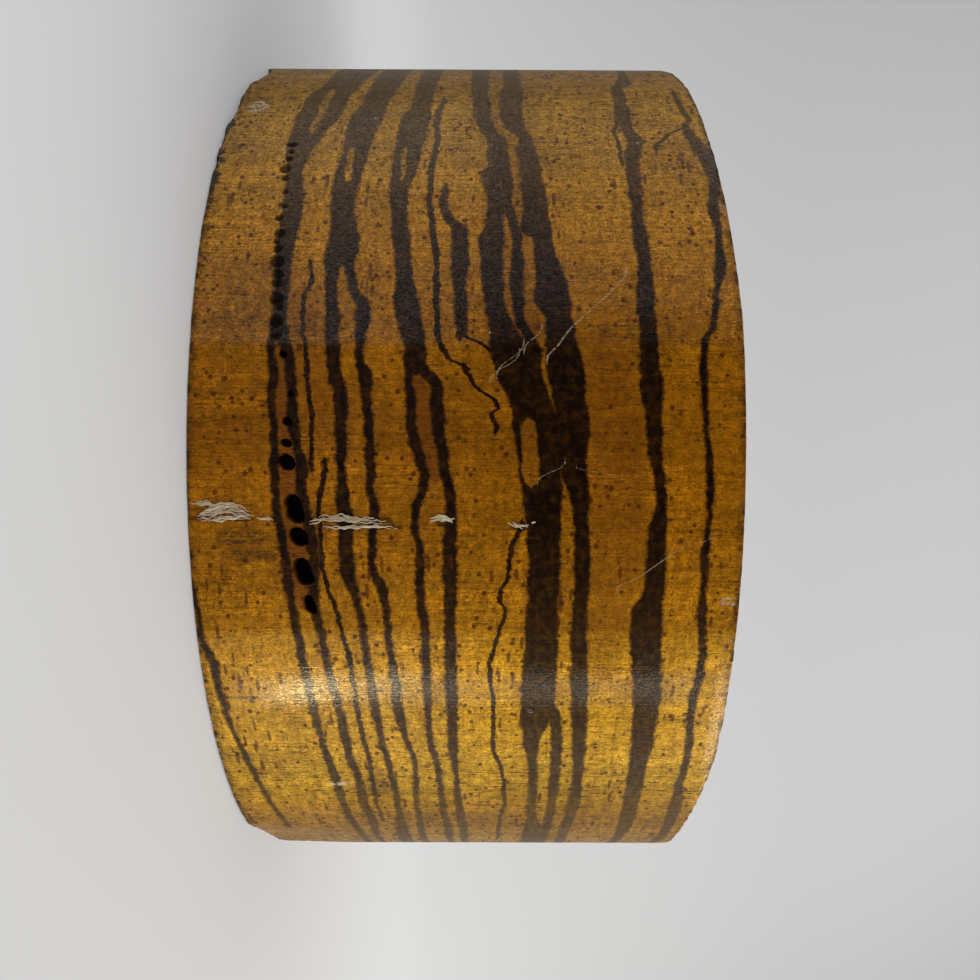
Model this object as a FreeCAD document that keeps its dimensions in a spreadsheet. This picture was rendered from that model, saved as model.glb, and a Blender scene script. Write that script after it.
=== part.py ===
import FreeCAD, Part
import Sketcher
import math
import os

# Round turning blank: a disc band-sawn from a two-inch plank of streaked hardwood.
# It lies on one flat face, with the disc's axis along Z. The origin is the middle of that face.
# Lengths are millimetres. A rim angle is in degrees from the front of the rim (-Y), clockwise
# as seen from above, so that 90 degrees is the -X side.

BODY_NAME = "turning_blank"
SHEET_NAME = "dimensions"
LOWER, UPPER = -1, 1

# The round itself. Its upper face is not quite flat: it falls away towards its -X edge, by
# taper_depth at the rim, over the last taper_reach of its width.
SIZES = {
    "diameter": 102,
    "thickness": 49,
    "arris_break": 0.12,
    "taper_depth": 1.65,
    "taper_reach": 41,
}

# Where the saw left the cut, the rim is a little hollow near the lower face. A large ball fits
# the hollow: its rim angle, its radius, how far its centre is under the lower face, and how deep
# it bites at that face.
LOW_SPOT = {
    "low_spot_angle": -65,
    "low_spot_ball": 200,
    "low_spot_drop": 9,
    "low_spot_depth": 1.0,
}

# Gum ducts: a row of tubes along the grain, which the rim cuts open as dark pits. The grain
# runs from front to back, so each tube goes straight back. Its height above the floor, its place
# towards +X, its radius, how much longer than high its mouth is, and its depth below the rim.
PIT_VALUES = ("height", "place", "radius", "stretch", "depth")
PITS = {
    "pit_speck": (8.3, -6.4, 0.27, 0, 0.6),
    "pit_dot": (9.1, -2.85, 0.25, 0, 0.6),
    "pit_upper": (8.8, -0.45, 0.36, 0, 0.9),
    "pit_small": (8.75, 1.45, 0.4, 0, 0.9),
    "pit_round": (8.75, 3.1, 0.71, 0, 1.3),
    "pit_twin": (9.4, 7.2, 0.7, 1.1, 1.5),
    "pit_wide": (9.7, 9.65, 0.82, 0, 1.7),
    "pit_long": (10.0, 12.75, 0.72, 0.95, 1.7),
    "pit_tail": (10.45, 15.7, 0.5, 0.66, 1.2),
}

# Chips broken out of the two sharp edges: the face that each is on, its rim angle, half its
# length along the edge, its depth, measured slantwise into the corner, and that slant: 90 degrees
# is straight down on the face, and less leans out to the rim.
CHIP_VALUES = ("angle", "half_length", "depth", "slant")
CHIPS = {
    "chip_corner": (LOWER, 55.6, 6.5, 1.45, 75),
    "chip_notch": (LOWER, 47.0, 5.0, 0.55, 68),
    "chip_shallow": (LOWER, 41.5, 3.8, 0.6, 50),
    "chip_dark": (LOWER, 35.0, 2.2, 0.3, 45),
    "chip_lower": (LOWER, 30.4, 1.3, 0.25, 45),
    "chip_long": (UPPER, -59.0, 23.0, 1.0, 84),
    "chip_nick": (UPPER, -49.6, 0.9, 0.4, 45),
}

# Scores that the blade left across the rim where the round cut began and ended: the height of
# each one's lower end, its length, its rim angle, its width and its depth. The first runs off
# the lower face.
SCORE_VALUES = ("height", "length", "angle", "width", "depth")
SCORES = {
    "score_entry": (-0.6, 6.8, -9.1, 0.4, 0.12),
    "score_long": (10.5, 7.7, -9.2, 0.5, 0.2),
    "score_fine": (11.0, 8.2, -9.95, 0.3, 0.12),
    "score_middle": (21.5, 2.1, -9.5, 0.45, 0.18),
    "score_far": (28.0, 2.7, -9.9, 0.4, 0.16),
}


def named(feature, names, numbers):
    """Gives each number of a feature a name of its own, such as pit_wide_depth."""
    return {f"{feature}_{name}": number for name, number in zip(names, numbers)}


def all_values():
    values = {**SIZES, **LOW_SPOT}
    for name, numbers in PITS.items():
        values.update(named(name, PIT_VALUES, numbers))
    for name, (_, *numbers) in CHIPS.items():
        values.update(named(name, CHIP_VALUES, numbers))
    for name, numbers in SCORES.items():
        values.update(named(name, SCORE_VALUES, numbers))
    return values


def make_sheet(doc):
    sheet = doc.addObject("Spreadsheet::Sheet", SHEET_NAME)
    for row, (alias, number) in enumerate(all_values().items(), start=1):
        sheet.set(f"A{row}", alias)
        sheet.set(f"B{row}", str(number))
        sheet.setAlias(f"B{row}", alias)
    doc.recompute()


def bind(feature, formulas):
    """Ties sizes and places to the sheet: @name in a formula is the cell of that name."""
    for path, formula in formulas.items():
        feature.setExpression(path, formula.replace("@", SHEET_NAME + "."))


def add_sketch(body, name, role):
    sketch = body.newObject("Sketcher::SketchObject", name)
    planes = body.Origin.OriginFeatures
    sketch.AttachmentSupport = [(next(plane for plane in planes if plane.Role == role), "")]
    sketch.MapMode = "FlatFace"
    return sketch


def constrain(sketch, name, formula, *constraint):
    """Adds a measured constraint with a name and ties it to the sheet."""
    index = sketch.addConstraint(Sketcher.Constraint(*constraint))
    sketch.renameConstraint(index, name)
    bind(sketch, {f"Constraints.{name}": formula})


def draw_circle(sketch, radius):
    """A circle about the sketch's origin."""
    sketch.addGeometry(Part.Circle(FreeCAD.Vector(), FreeCAD.Vector(0, 0, 1), radius), False)
    sketch.addConstraint(Sketcher.Constraint("Coincident", 0, 3, -1, 1))


def add_round(body):
    """The sawn disc, padded up from the circle of its lower face."""
    sketch = add_sketch(body, "rim_circle", "XY_Plane")
    draw_circle(sketch, SIZES["diameter"] / 2)
    constrain(sketch, "rim_radius", "@diameter / 2", "Radius", 0, SIZES["diameter"] / 2)
    pad = body.newObject("PartDesign::Pad", "sawn_round")
    pad.Profile = sketch
    bind(pad, {"Length": "@thickness"})
    return pad


def add_edge_break(body, disc):
    """The slight bevel that handling gives the sharp edges of both faces."""
    edges = enumerate(disc.Shape.Edges, start=1)
    bevel = body.newObject("PartDesign::Chamfer", "edge_break")
    bevel.Base = (disc, [f"Edge{i}" for i, edge in edges if isinstance(edge.Curve, Part.Circle)])
    bind(bevel, {"Size": "@arris_break"})


def add_taper(body):
    """The thin wedge that the upper face lacks, drawn in XZ as a triangle."""
    sketch = add_sketch(body, "taper_outline", "XZ_Plane")
    face, edge = SIZES["thickness"], -SIZES["diameter"] / 2
    start = edge + SIZES["taper_reach"]
    lower = face - SIZES["taper_depth"]
    corners = [FreeCAD.Vector(x, y, 0) for x, y in ((start, face), (edge, face), (edge, lower))]
    for index in range(3):
        side = Part.LineSegment(corners[index], corners[(index + 1) % 3])
        sketch.addGeometry(side, False)
    for index in range(3):
        sketch.addConstraint(Sketcher.Constraint("Coincident", index, 2, (index + 1) % 3, 1))
    sketch.addConstraint(Sketcher.Constraint("Horizontal", 0))
    sketch.addConstraint(Sketcher.Constraint("Vertical", 1))
    constrain(sketch, "face_place", "@thickness", "DistanceY", -1, 1, 1, 1, face)
    constrain(sketch, "edge_place", "@diameter / 2", "DistanceX", 1, 1, -1, 1, -edge)
    constrain(sketch, "reach", "@taper_reach", "DistanceX", 0, 2, 0, 1, start - edge)
    constrain(sketch, "depth", "@taper_depth", "DistanceY", 1, 2, 1, 1, face - lower)
    pocket = body.newObject("PartDesign::Pocket", "taper")
    pocket.Profile = sketch
    pocket.Type = "ThroughAll"
    pocket.Midplane = True


def draw_slot(sketch, radius, stretch):
    """A slot about the sketch's origin, stretched along its X."""
    half = stretch / 2
    up = FreeCAD.Vector(0, 0, 1)
    left = Part.Circle(FreeCAD.Vector(-half, 0, 0), up, radius)
    right = Part.Circle(FreeCAD.Vector(half, 0, 0), up, radius)
    quarter = math.pi / 2
    sketch.addGeometry([
        Part.ArcOfCircle(left, quarter, 3 * quarter),
        Part.LineSegment(FreeCAD.Vector(-half, -radius, 0), FreeCAD.Vector(half, -radius, 0)),
        Part.ArcOfCircle(right, 3 * quarter, 5 * quarter),
        Part.LineSegment(FreeCAD.Vector(half, radius, 0), FreeCAD.Vector(-half, radius, 0)),
    ], False)
    for index in range(4):
        sketch.addConstraint(Sketcher.Constraint("Tangent", index, 2, (index + 1) % 4, 1))
    sketch.addConstraint(Sketcher.Constraint("Horizontal", 1))
    sketch.addConstraint(Sketcher.Constraint("Equal", 0, 2))
    sketch.addConstraint(Sketcher.Constraint("Symmetric", 0, 3, 2, 3, -1, 1))


def add_pit(body, name, radius, stretch):
    """One gum duct, cut back from the plane that touches the front of the rim."""
    sketch = add_sketch(body, f"{name}_outline", "XZ_Plane")
    bind(sketch, {
        "AttachmentOffset.Base.x": f"@{name}_place",
        "AttachmentOffset.Base.y": f"@{name}_height",
        "AttachmentOffset.Base.z": "@diameter / 2",
    })
    if stretch:
        draw_slot(sketch, radius, stretch)
        constrain(sketch, "duct_stretch", f"@{name}_stretch", "DistanceX", 0, 3, 2, 3, stretch)
    else:
        draw_circle(sketch, radius)
    constrain(sketch, "duct_radius", f"@{name}_radius", "Radius", 0, radius)
    pocket = body.newObject("PartDesign::Pocket", name)
    pocket.Profile = sketch
    gap = f"@diameter / 2 - sqrt(@diameter ^ 2 / 4 - @{name}_place ^ 2)"
    bind(pocket, {"Length": f"{gap} + @{name}_depth"})


def place_on_rim(feature, name, height, outwards):
    """Puts a feature's origin at a rim angle, a distance outwards from the rim surface."""
    radius = f"(@diameter / 2 + {outwards})"
    bind(feature, {
        "Placement.Base.x": f"-{radius} * sin(@{name}_angle * 1 deg)",
        "Placement.Base.y": f"-{radius} * cos(@{name}_angle * 1 deg)",
        "Placement.Base.z": height,
    })


def add_low_spot(body, name):
    """The hollow in the rim where the cut ended."""
    hollow = body.newObject("PartDesign::SubtractiveSphere", name)
    bind(hollow, {"Radius": f"@{name}_ball"})
    stand_off = f"(sqrt(@{name}_ball ^ 2 - @{name}_drop ^ 2) - @{name}_depth)"
    place_on_rim(hollow, name, f"-@{name}_drop", stand_off)


def add_chip(body, name, side):
    """A shell-shaped chip: a ball that bites slantwise into the corner of rim and face."""
    ball = f"(@{name}_half_length ^ 2 + @{name}_depth ^ 2) / (2 * @{name}_depth)"
    stand_off = f"({ball} - @{name}_depth)"
    rise = f"{stand_off} * sin(@{name}_slant * 1 deg)"
    height = f"@thickness + {rise}" if side == UPPER else f"-{rise}"
    chip = body.newObject("PartDesign::SubtractiveSphere", name)
    bind(chip, {"Radius": ball})
    place_on_rim(chip, name, height, f"{stand_off} * cos(@{name}_slant * 1 deg)")


def add_score(body, name):
    """A score: the hollow that a thin round bar, held against the rim, would leave."""
    bar = f"(@{name}_width ^ 2 / 4 + @{name}_depth ^ 2) / (2 * @{name}_depth)"
    score = body.newObject("PartDesign::SubtractiveCylinder", name)
    bind(score, {"Radius": bar, "Height": f"@{name}_length"})
    place_on_rim(score, name, f"@{name}_height", f"{bar} - @{name}_depth")


def check(doc, body):
    for part in doc.Objects:
        if "Invalid" in part.State or "Error" in part.State:
            raise RuntimeError(f"{part.Name} failed: {part.State}")
    if body.Shape.isNull() or not body.Shape.isValid():
        raise RuntimeError(f"{body.Label} has no valid shape")
    if len(body.Shape.Solids) != 1:
        raise RuntimeError(f"{body.Label} is not one solid")


def report(body):
    box = body.Shape.optimalBoundingBox(False)
    print(f"{body.Label}: {box.XLength:.3f} x {box.YLength:.3f} x {box.ZLength:.3f} mm")
    print(f"volume {body.Shape.Volume / 1000:.3f} cm3, {len(body.Shape.Faces)} faces")


def main():
    doc = FreeCAD.newDocument("blank")
    make_sheet(doc)
    body = doc.addObject("PartDesign::Body", BODY_NAME)
    body.Label = BODY_NAME
    disc = add_round(body)
    doc.recompute()
    add_edge_break(body, disc)
    add_taper(body)
    add_low_spot(body, "low_spot")
    for name, (_, _, radius, stretch, _) in PITS.items():
        add_pit(body, name, radius, stretch)
    for name, (side, *_) in CHIPS.items():
        add_chip(body, name, side)
    for name in SCORES:
        add_score(body, name)
    doc.recompute()
    check(doc, body)
    report(body)
    os.makedirs("parts", exist_ok=True)
    body.Shape.exportStep(f"parts/{body.Label}.step")


main()
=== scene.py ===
# %% [markdown]
# A round turning blank of streaked hardwood
#
# This notebook dresses one solid: a disc that a band saw cut from a two-inch plank, ready to be
# turned into a bowl. The photographed side is its rim, where the saw went across the grain. The
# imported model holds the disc, its tapered face, its gum ducts, its chips and its saw scores. Here
# the same disc gets a finer skin, a wood that is streaked right through, a thin coat of wax and
# the light of a small studio.

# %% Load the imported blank
import bpy
import bmesh
import math
import random
from mathutils import Matrix, Quaternion, Vector, noise


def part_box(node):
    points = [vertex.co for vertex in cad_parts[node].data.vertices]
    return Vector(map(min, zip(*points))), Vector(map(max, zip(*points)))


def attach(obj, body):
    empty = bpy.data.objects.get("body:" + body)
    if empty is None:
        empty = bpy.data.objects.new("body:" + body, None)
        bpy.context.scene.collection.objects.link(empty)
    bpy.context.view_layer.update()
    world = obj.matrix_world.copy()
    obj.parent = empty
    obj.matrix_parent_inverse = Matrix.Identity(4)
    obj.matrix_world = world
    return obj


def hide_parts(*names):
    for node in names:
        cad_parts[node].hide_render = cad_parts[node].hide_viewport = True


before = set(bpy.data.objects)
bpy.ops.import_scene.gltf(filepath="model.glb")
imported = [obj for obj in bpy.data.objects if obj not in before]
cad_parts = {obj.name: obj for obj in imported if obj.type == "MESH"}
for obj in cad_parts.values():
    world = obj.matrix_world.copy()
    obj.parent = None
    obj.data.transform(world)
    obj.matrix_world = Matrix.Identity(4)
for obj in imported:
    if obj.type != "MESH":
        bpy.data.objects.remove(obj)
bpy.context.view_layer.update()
NODE = "turning_blank"

# %% [markdown]
# Units and directions
#
# Lengths below are millimetres, the unit of a workshop drawing, and are turned into metres only at
# the end. The blank lies on its lower face. The grain runs from front to back, along Y, and left
# and right are the -X and the +X side. A place on the rim has two numbers: its angle from the
# front, clockwise as seen from above, and its place across the blank, measured from the middle
# between the two faces, so that minus is nearer the floor. Reading both numbers off a round thing
# is easier than reading x, y and z.

# %% Sizes from the frame
MM = 0.001
node_low, node_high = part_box(NODE)
RADIUS = (node_high.x - node_low.x) / 2 / MM
THICKNESS = node_high.z / MM
MIDDLE = THICKNESS / 2
ARRIS = 0.12


def rim_point(angle, across, outwards=0.0):
    """The point of the rim at an angle in degrees and a place across, in millimetres."""
    turn = math.radians(angle)
    reach = RADIUS + outwards
    return Vector((-reach * math.sin(turn), -reach * math.cos(turn), across + MIDDLE))


print(f"radius {RADIUS:.2f} mm, thickness {THICKNESS:.2f} mm")

# %% [markdown]
# The disc
#
# A cylinder primitive would have long thin faces that can't hold a chip or a gum duct. Instead a
# half section of six points, with the small bevel that handling gives the sharp edges, is cut up
# into short edges and spun about the axis. That gives even, nearly square faces on the rim, where
# the detail is, and wide ones on the two flat faces.

# %% Spin the half section
RIM_CUTS = 64
FACE_CUTS = 14
STEPS = 450

skin = bmesh.new()
SECTION = (
    (0, 0), (RADIUS - ARRIS, 0), (RADIUS, ARRIS),
    (RADIUS, THICKNESS - ARRIS), (RADIUS - ARRIS, THICKNESS), (0, THICKNESS),
)
corners = [skin.verts.new((reach, 0, height)) for reach, height in SECTION]
sides = [skin.edges.new(pair) for pair in zip(corners, corners[1:])]
bmesh.ops.subdivide_edges(skin, edges=[sides[2]], cuts=RIM_CUTS)
bmesh.ops.subdivide_edges(skin, edges=[sides[0], sides[4]], cuts=FACE_CUTS)
outline = list(skin.verts) + list(skin.edges)
bmesh.ops.spin(
    skin, geom=outline, cent=(0, 0, 0), axis=(0, 0, 1), dvec=(0, 0, 0),
    angle=math.tau, steps=STEPS, use_merge=True, use_duplicate=False,
)
bmesh.ops.remove_doubles(skin, verts=skin.verts, dist=0.001)
bmesh.ops.recalc_face_normals(skin, faces=skin.faces)
print("spun disc:", len(skin.verts), "points,", len(skin.faces), "faces")

# %% [markdown]
# The falling face
#
# The plank was not quite even: the upper face drops towards its left side. Each point is
# lowered in step with its height, so the rim's rows close up evenly and no face folds over.

# %% Taper the upper face
TAPER_DEPTH = 1.65
TAPER_REACH = 41.0
taper_start = TAPER_REACH - RADIUS


def face_drop(x):
    """How far the upper face lies under its full height at this x."""
    return TAPER_DEPTH * max(0.0, taper_start - x) / TAPER_REACH


for point in skin.verts:
    point.co.z *= 1 - face_drop(point.co.x) / THICKNESS
print(f"the upper face falls {face_drop(-RADIUS):.2f} mm")

# %% [markdown]
# Finer faces where something is broken or cut
#
# Gum ducts, scores and chips are smaller than the disc's faces. Making the whole skin fine enough
# would need millions of faces, so only the patches that hold detail are divided again. A patch is
# a range of angles and of places across the blank.

# %% Divide the patches
# First and last rim angle, lowest and highest place across, and how finely it is cut.
PATCHES = {
    "gum ducts": ((-19.5, 9.0, -17.3, -12.8), 7),
    "beads of gum": ((8.4, 35.0, -18.4, -16.0), 5),
    "scores": ((-11.8, -6.2, -24.6, 7.0), 5),
    "lower chips": ((28.0, 63.0, -24.6, -22.4), 4),
    "upper chips": ((-64.0, -40.0, 22.2, 24.6), 3),
}
WHOLE_FACE = 0.2
RIM_DEPTH = 1.5


def angle_of(point):
    """The rim angle of a point, in degrees from the front."""
    return math.degrees(math.atan2(-point.x, -point.y))


def within(point, patch):
    """True where a point of the rim lies in a patch."""
    first, last, low, high = patch
    near_rim = math.hypot(point.x, point.y) > RADIUS - RIM_DEPTH
    return near_rim and first < angle_of(point) < last and low < point.z - MIDDLE < high


def divide(name, patch, cuts):
    """Cuts each whole face of a patch into a grid of smaller ones. Patches may overlap."""
    faces = [
        face for face in skin.faces
        if within(face.calc_center_median(), patch) and face.calc_area() > WHOLE_FACE
    ]
    edges = list({edge for face in faces for edge in face.edges})
    bmesh.ops.subdivide_edges(skin, edges=edges, cuts=cuts, use_grid_fill=True)
    print(name, "had", len(faces), "faces; the skin now has", len(skin.faces))


for name, (patch, cuts) in PATCHES.items():
    divide(name, patch, cuts)

# %% [markdown]
# Carving
#
# A real chip, duct or score is wood that is gone. Pushing points inwards is the mesh's way of
# saying the same, as a sculptor's brush does. Three brushes are enough. A ball bites chips out of
# the edges. A bar, held along the axis, cuts the scores. A round or slot-shaped drill, run
# straight back along the grain, opens the gum ducts. Each brush also marks the points it touched,
# so that the wood can be dark inside a duct and rough inside a chip.

# %% Marks that the wood will read
gum_mark = skin.verts.layers.float.new("gum")
torn_mark = skin.verts.layers.float.new("torn")
arris_mark = skin.verts.layers.float.new("arris")


def ripple(point, size, seed=0.0):
    """Smooth noise from -1 to 1 whose lumps are about size millimetres across."""
    return noise.noise(point / size + Vector((seed, seed, seed)))


def smooth_step(low, high, value):
    """Rises smoothly from 0 to 1 while value goes from low to high."""
    share = min(1.0, max(0.0, (value - low) / (high - low)))
    return share * share * (3 - 2 * share)


print("each point of the skin can be marked as gum, torn wood or worn edge")

# %% Bite the chips
LOWER_FACE, UPPER_FACE = -1, 1
# Face, rim angle, half length, depth, and how far the bite leans over from the rim in degrees.
CHIPS = (
    (LOWER_FACE, 55.6, 6.5, 1.45, 75),
    (LOWER_FACE, 47.0, 5.0, 0.55, 68),
    (LOWER_FACE, 41.5, 3.8, 0.6, 50),
    (LOWER_FACE, 35.0, 2.2, 0.3, 45),
    (LOWER_FACE, 30.4, 1.3, 0.25, 45),
    (UPPER_FACE, -59.0, 23.0, 1.0, 84),
    (UPPER_FACE, -49.6, 0.9, 0.4, 45),
)
TORN_ROUGHNESS = 0.11
TORN_LUMP = 0.7
LONG_CHIP = 10.0
FAINT_TEAR = 0.35


def scoop(centre, ball, mark):
    """Pushes each point that lies inside a ball out to the ball's uneven surface."""
    touched = 0
    for point in skin.verts:
        away = point.co - centre
        if away.length > ball + TORN_ROUGHNESS:
            continue
        bottom = ball + TORN_ROUGHNESS * ripple(point.co, TORN_LUMP)
        if away.length < bottom:
            cut = min(1.0, (bottom - away.length) / TORN_ROUGHNESS)
            point.co = centre + away.normalized() * bottom
            point[torn_mark] = max(point[torn_mark], mark * cut)
            touched += 1
    return touched


def bite(face, angle, half_length, depth, slant):
    """Takes a shell-shaped chip out of an edge, with a torn, uneven bottom."""
    ball = (half_length**2 + depth**2) / (2 * depth)
    stand_off = ball - depth
    rise = stand_off * math.sin(math.radians(slant))
    lean = stand_off * math.cos(math.radians(slant))
    centre = rim_point(angle, face * (MIDDLE + rise), lean)
    return scoop(centre, ball, 1.0 if half_length < LONG_CHIP else FAINT_TEAR)


for chip in CHIPS:
    print("chip at", chip[1], "degrees:", bite(*chip), "points")

# %% Hollow the rim where the cut ended
LOW_SPOT_ANGLE = -65.0
LOW_SPOT_BALL = 200.0
LOW_SPOT_DROP = 9.0
LOW_SPOT_DEPTH = 1.0
low_stand_off = math.sqrt(LOW_SPOT_BALL**2 - LOW_SPOT_DROP**2) - LOW_SPOT_DEPTH
low_centre = rim_point(LOW_SPOT_ANGLE, -MIDDLE - LOW_SPOT_DROP, low_stand_off)
print("low spot:", scoop(low_centre, LOW_SPOT_BALL, 0.0), "points")

# %% Cut the scores
# Height of the lower end, length, rim angle, width and depth.
SCORES = (
    (-0.6, 6.8, -9.1, 0.4, 0.12),
    (10.5, 7.7, -9.2, 0.5, 0.2),
    (11.0, 8.2, -9.95, 0.3, 0.12),
    (21.5, 2.1, -9.5, 0.45, 0.18),
    (28.0, 2.7, -9.9, 0.4, 0.16),
)
SCORE_WANDER, SCORE_WAVE = 0.12, 1.6
SCORE_END = 0.6
# How dark a score's bottom is marked: torn wood, and painted shadow under the wax curls on it.
SCORE_TEAR_AND_SHADOW = 0.8


def score(height, length, angle, width, depth):
    """Drags a thin round bar along the rim, deeper here and shallower there."""
    bar = (width**2 / 4 + depth**2) / (2 * depth)
    touched = 0
    for point in skin.verts:
        if not height < point.co.z < height + length:
            continue
        wander = SCORE_WANDER * ripple(point.co, SCORE_WAVE, seed=angle)
        centre = rim_point(angle + wander, 0, bar - depth)
        away = Vector((point.co.x - centre.x, point.co.y - centre.y, 0))
        if away.length < bar:
            ends = min(point.co.z - height, height + length - point.co.z)
            share = smooth_step(0, SCORE_END, ends)
            moved = centre + away.normalized() * bar
            point.co.x += (moved.x - point.co.x) * share
            point.co.y += (moved.y - point.co.y) * share
            point[torn_mark] = max(point[torn_mark], SCORE_TEAR_AND_SHADOW * share)
            touched += 1
    return touched


for mark in SCORES:
    print("score at height", mark[0], "mm:", score(*mark), "points")

# %% Drill the gum ducts
# Height, x, radius, how much longer than wide, and depth.
DUCTS = (
    (8.3, -6.4, 0.27, 0, 0.6),
    (9.1, -2.85, 0.25, 0, 0.6),
    (8.8, -0.45, 0.36, 0, 0.9),
    (8.75, 1.45, 0.4, 0, 0.9),
    (8.75, 3.1, 0.71, 0, 1.3),
    (9.4, 7.2, 0.7, 1.1, 1.5),
    (9.7, 9.65, 0.82, 0, 1.7),
    (10.0, 12.75, 0.72, 0.95, 1.7),
    (10.45, 15.7, 0.5, 0.66, 1.2),
)
LIP_INSIDE, LIP_OUTSIDE = 0.1, 0.04
LEAN = 0.25
MOUTH_ROUGHNESS, MOUTH_LUMP = 0.09, 0.6
NEARBY = 2.0


def drill(height, place, radius, stretch, depth):
    """Opens one gum duct, straight back along the grain, with an uneven mouth."""
    touched = 0
    for point in skin.verts:
        far_off = max(abs(point.co.z - height), abs(point.co.x - place)) > NEARBY
        if far_off or point.co.y > 0:
            continue
        aside = max(0.0, abs(point.co.x - place) - stretch / 2)
        off = point.co.z - height - LEAN * (point.co.x - place)
        distance = math.hypot(aside, off) + MOUTH_ROUGHNESS * ripple(point.co, MOUTH_LUMP)
        share = 1 - smooth_step(radius - LIP_INSIDE, radius + LIP_OUTSIDE, distance)
        if share > 0:
            point.co.y += depth * share
            point[gum_mark] = max(point[gum_mark], share)
            touched += 1
    return touched


for duct in DUCTS:
    print("duct at x", duct[1], "mm:", drill(*duct), "points")

# %% [markdown]
# Beads of gum
#
# To the left of the open ducts the same row of tubes is still full of black gum, which shows as a
# string of beads. Balls stuck on the rim would stand out of the sawn surface. So each bead is a
# mark on the skin that the wood reads as black, and is sunk a little round its middle, where the
# gum has shrunk away from the wood.

# %% Sink the beads of gum
# Rim angle, place across and half width.
GUM_BEADS = (
    (33.7, -17.5, 0.3), (33.8, -17.1, 0.32), (32.5, -17.3, 0.28), (31.3, -17.3, 0.34),
    (29.6, -17.55, 0.5), (28.2, -17.45, 0.32), (26.2, -17.2, 0.26), (24.3, -17.5, 0.2),
    (24.2, -17.1, 0.24), (22.6, -17.4, 0.34), (20.6, -17.2, 0.46), (19.6, -17.45, 0.24),
    (18.7, -17.2, 0.36), (17.2, -17.2, 0.6), (15.8, -17.05, 0.46), (14.8, -17.1, 0.42),
    (13.0, -17.0, 0.56), (12.1, -16.7, 0.3), (10.6, -16.9, 0.56), (9.2, -16.9, 0.4),
)
BEAD_DEPTH = 0.12
BEAD_RIM = 0.12
BEAD_BLACK = 0.85
BEAD_SWELL = 1.15
BEAD_ROUGHNESS, BEAD_LUMP = 0.08, 0.4
BEAD_MIDDLE = 0.6
DEGREE = math.radians(1) * RADIUS


def arc_distance(point, angle, at):
    """How far along the rim and how far across a point is from a place, in millimetres."""
    return (angle_of(point) - angle) * DEGREE, point.z - MIDDLE - at


for angle, at, size in GUM_BEADS:
    half = size * BEAD_SWELL
    centre = rim_point(angle, at)
    for point in skin.verts:
        if (point.co - centre).length > 2 * half:
            continue
        along, aside = arc_distance(point.co, angle, at)
        lump = BEAD_ROUGHNESS * ripple(point.co, BEAD_LUMP, seed=2)
        distance = math.hypot(along, aside) + lump
        share = 1 - smooth_step(half - BEAD_RIM, half + BEAD_RIM, distance)
        point[gum_mark] = max(point[gum_mark], BEAD_BLACK * share)
        point.co.y += BEAD_DEPTH * share * smooth_step(0.0, BEAD_MIDDLE * half, distance)
print(len(GUM_BEADS), "beads of gum")

# %% [markdown]
# Saw waves and worn edges
#
# A band saw wanders a little as it turns round a corner, and each tooth leaves a line along the
# axis. The lines are too fine for points and go into the wood's bump later. The slower waves are
# real relief, a few hundredths of a millimetre deep. The two sharp edges are also worn unevenly.
# All this moves inwards only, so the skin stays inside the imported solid.

# %% Wave the sawn rim and wear the edges
WAVE_DEPTH = 0.07
LONG_WAVE, SHORT_WAVE = 3.0, 1.1
LONG_SHARE, SHORT_SHARE = 0.35, 0.15
ALONG_THE_AXIS = 0.06
WEAR_DEPTH = 0.06
WORN_WIDTH, WORN_LUMP = 0.7, 0.9
ROUGH_EDGE = 3.0
ROUGH_FROM, ROUGH_TO = 18.0, 40.0
ARRIS_WIDTH = 0.6
RIM_START, RIM_FULL = 1.9, 0.4
skin.normal_update()
for point in skin.verts:
    place = point.co.copy()
    reach = math.hypot(place.x, place.y)
    on_rim = smooth_step(RADIUS - RIM_START, RADIUS - RIM_FULL, reach)
    sawn = Vector((place.x, place.y, place.z * ALONG_THE_AXIS))
    long_wave = LONG_SHARE * ripple(sawn, LONG_WAVE)
    short_wave = SHORT_SHARE * ripple(sawn, SHORT_WAVE, seed=7)
    depth = WAVE_DEPTH * (0.5 + long_wave + short_wave)
    to_edge = min(place.z, THICKNESS - face_drop(place.x) - place.z) + (RADIUS - reach)
    uneven = 0.5 + 0.5 * ripple(place, WORN_LUMP, seed=3)
    wear = (1 - smooth_step(0.0, WORN_WIDTH, to_edge)) * uneven
    wear *= 1 + ROUGH_EDGE * smooth_step(ROUGH_FROM, ROUGH_TO, abs(angle_of(place)))
    depth = depth * on_rim + WEAR_DEPTH * wear
    point.co -= point.normal * depth
    point[arris_mark] = 1 - smooth_step(0.0, ARRIS_WIDTH, to_edge)
print("waves up to", WAVE_DEPTH, "mm, wear up to", WEAR_DEPTH, "mm")

# %% [markdown]
# From points to an object
#
# Until here the blank is only points and faces in the script's hands. Blender shows objects, so the
# skin becomes a mesh, in metres, and the mesh an object at the origin. Smooth shading hides the
# small faces, while edges sharper than forty degrees stay crisp. Riding on the root body ties the
# object to the frame, and replacing the node hides the plain solid that it stands for.

# %% Make the blank an object
SHARP_ANGLE = 40.0
bmesh.ops.scale(skin, vec=(MM, MM, MM), verts=skin.verts)
bmesh.ops.recalc_face_normals(skin, faces=skin.faces)
mesh = bpy.data.meshes.new("sawn_blank")
skin.to_mesh(mesh)
skin.free()
mesh.shade_smooth()
mesh.set_sharp_from_angle(angle=math.radians(SHARP_ANGLE))
blank = bpy.data.objects.new("sawn_blank", mesh)
bpy.context.scene.collection.objects.link(blank)
mesh.calc_loop_triangles()
print("sawn_blank:", len(mesh.loop_triangles), "triangles")

# %% Ride on the frame
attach(blank, "root")
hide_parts(NODE)
print(blank.name, "rides on root and takes the place of", NODE)
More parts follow.
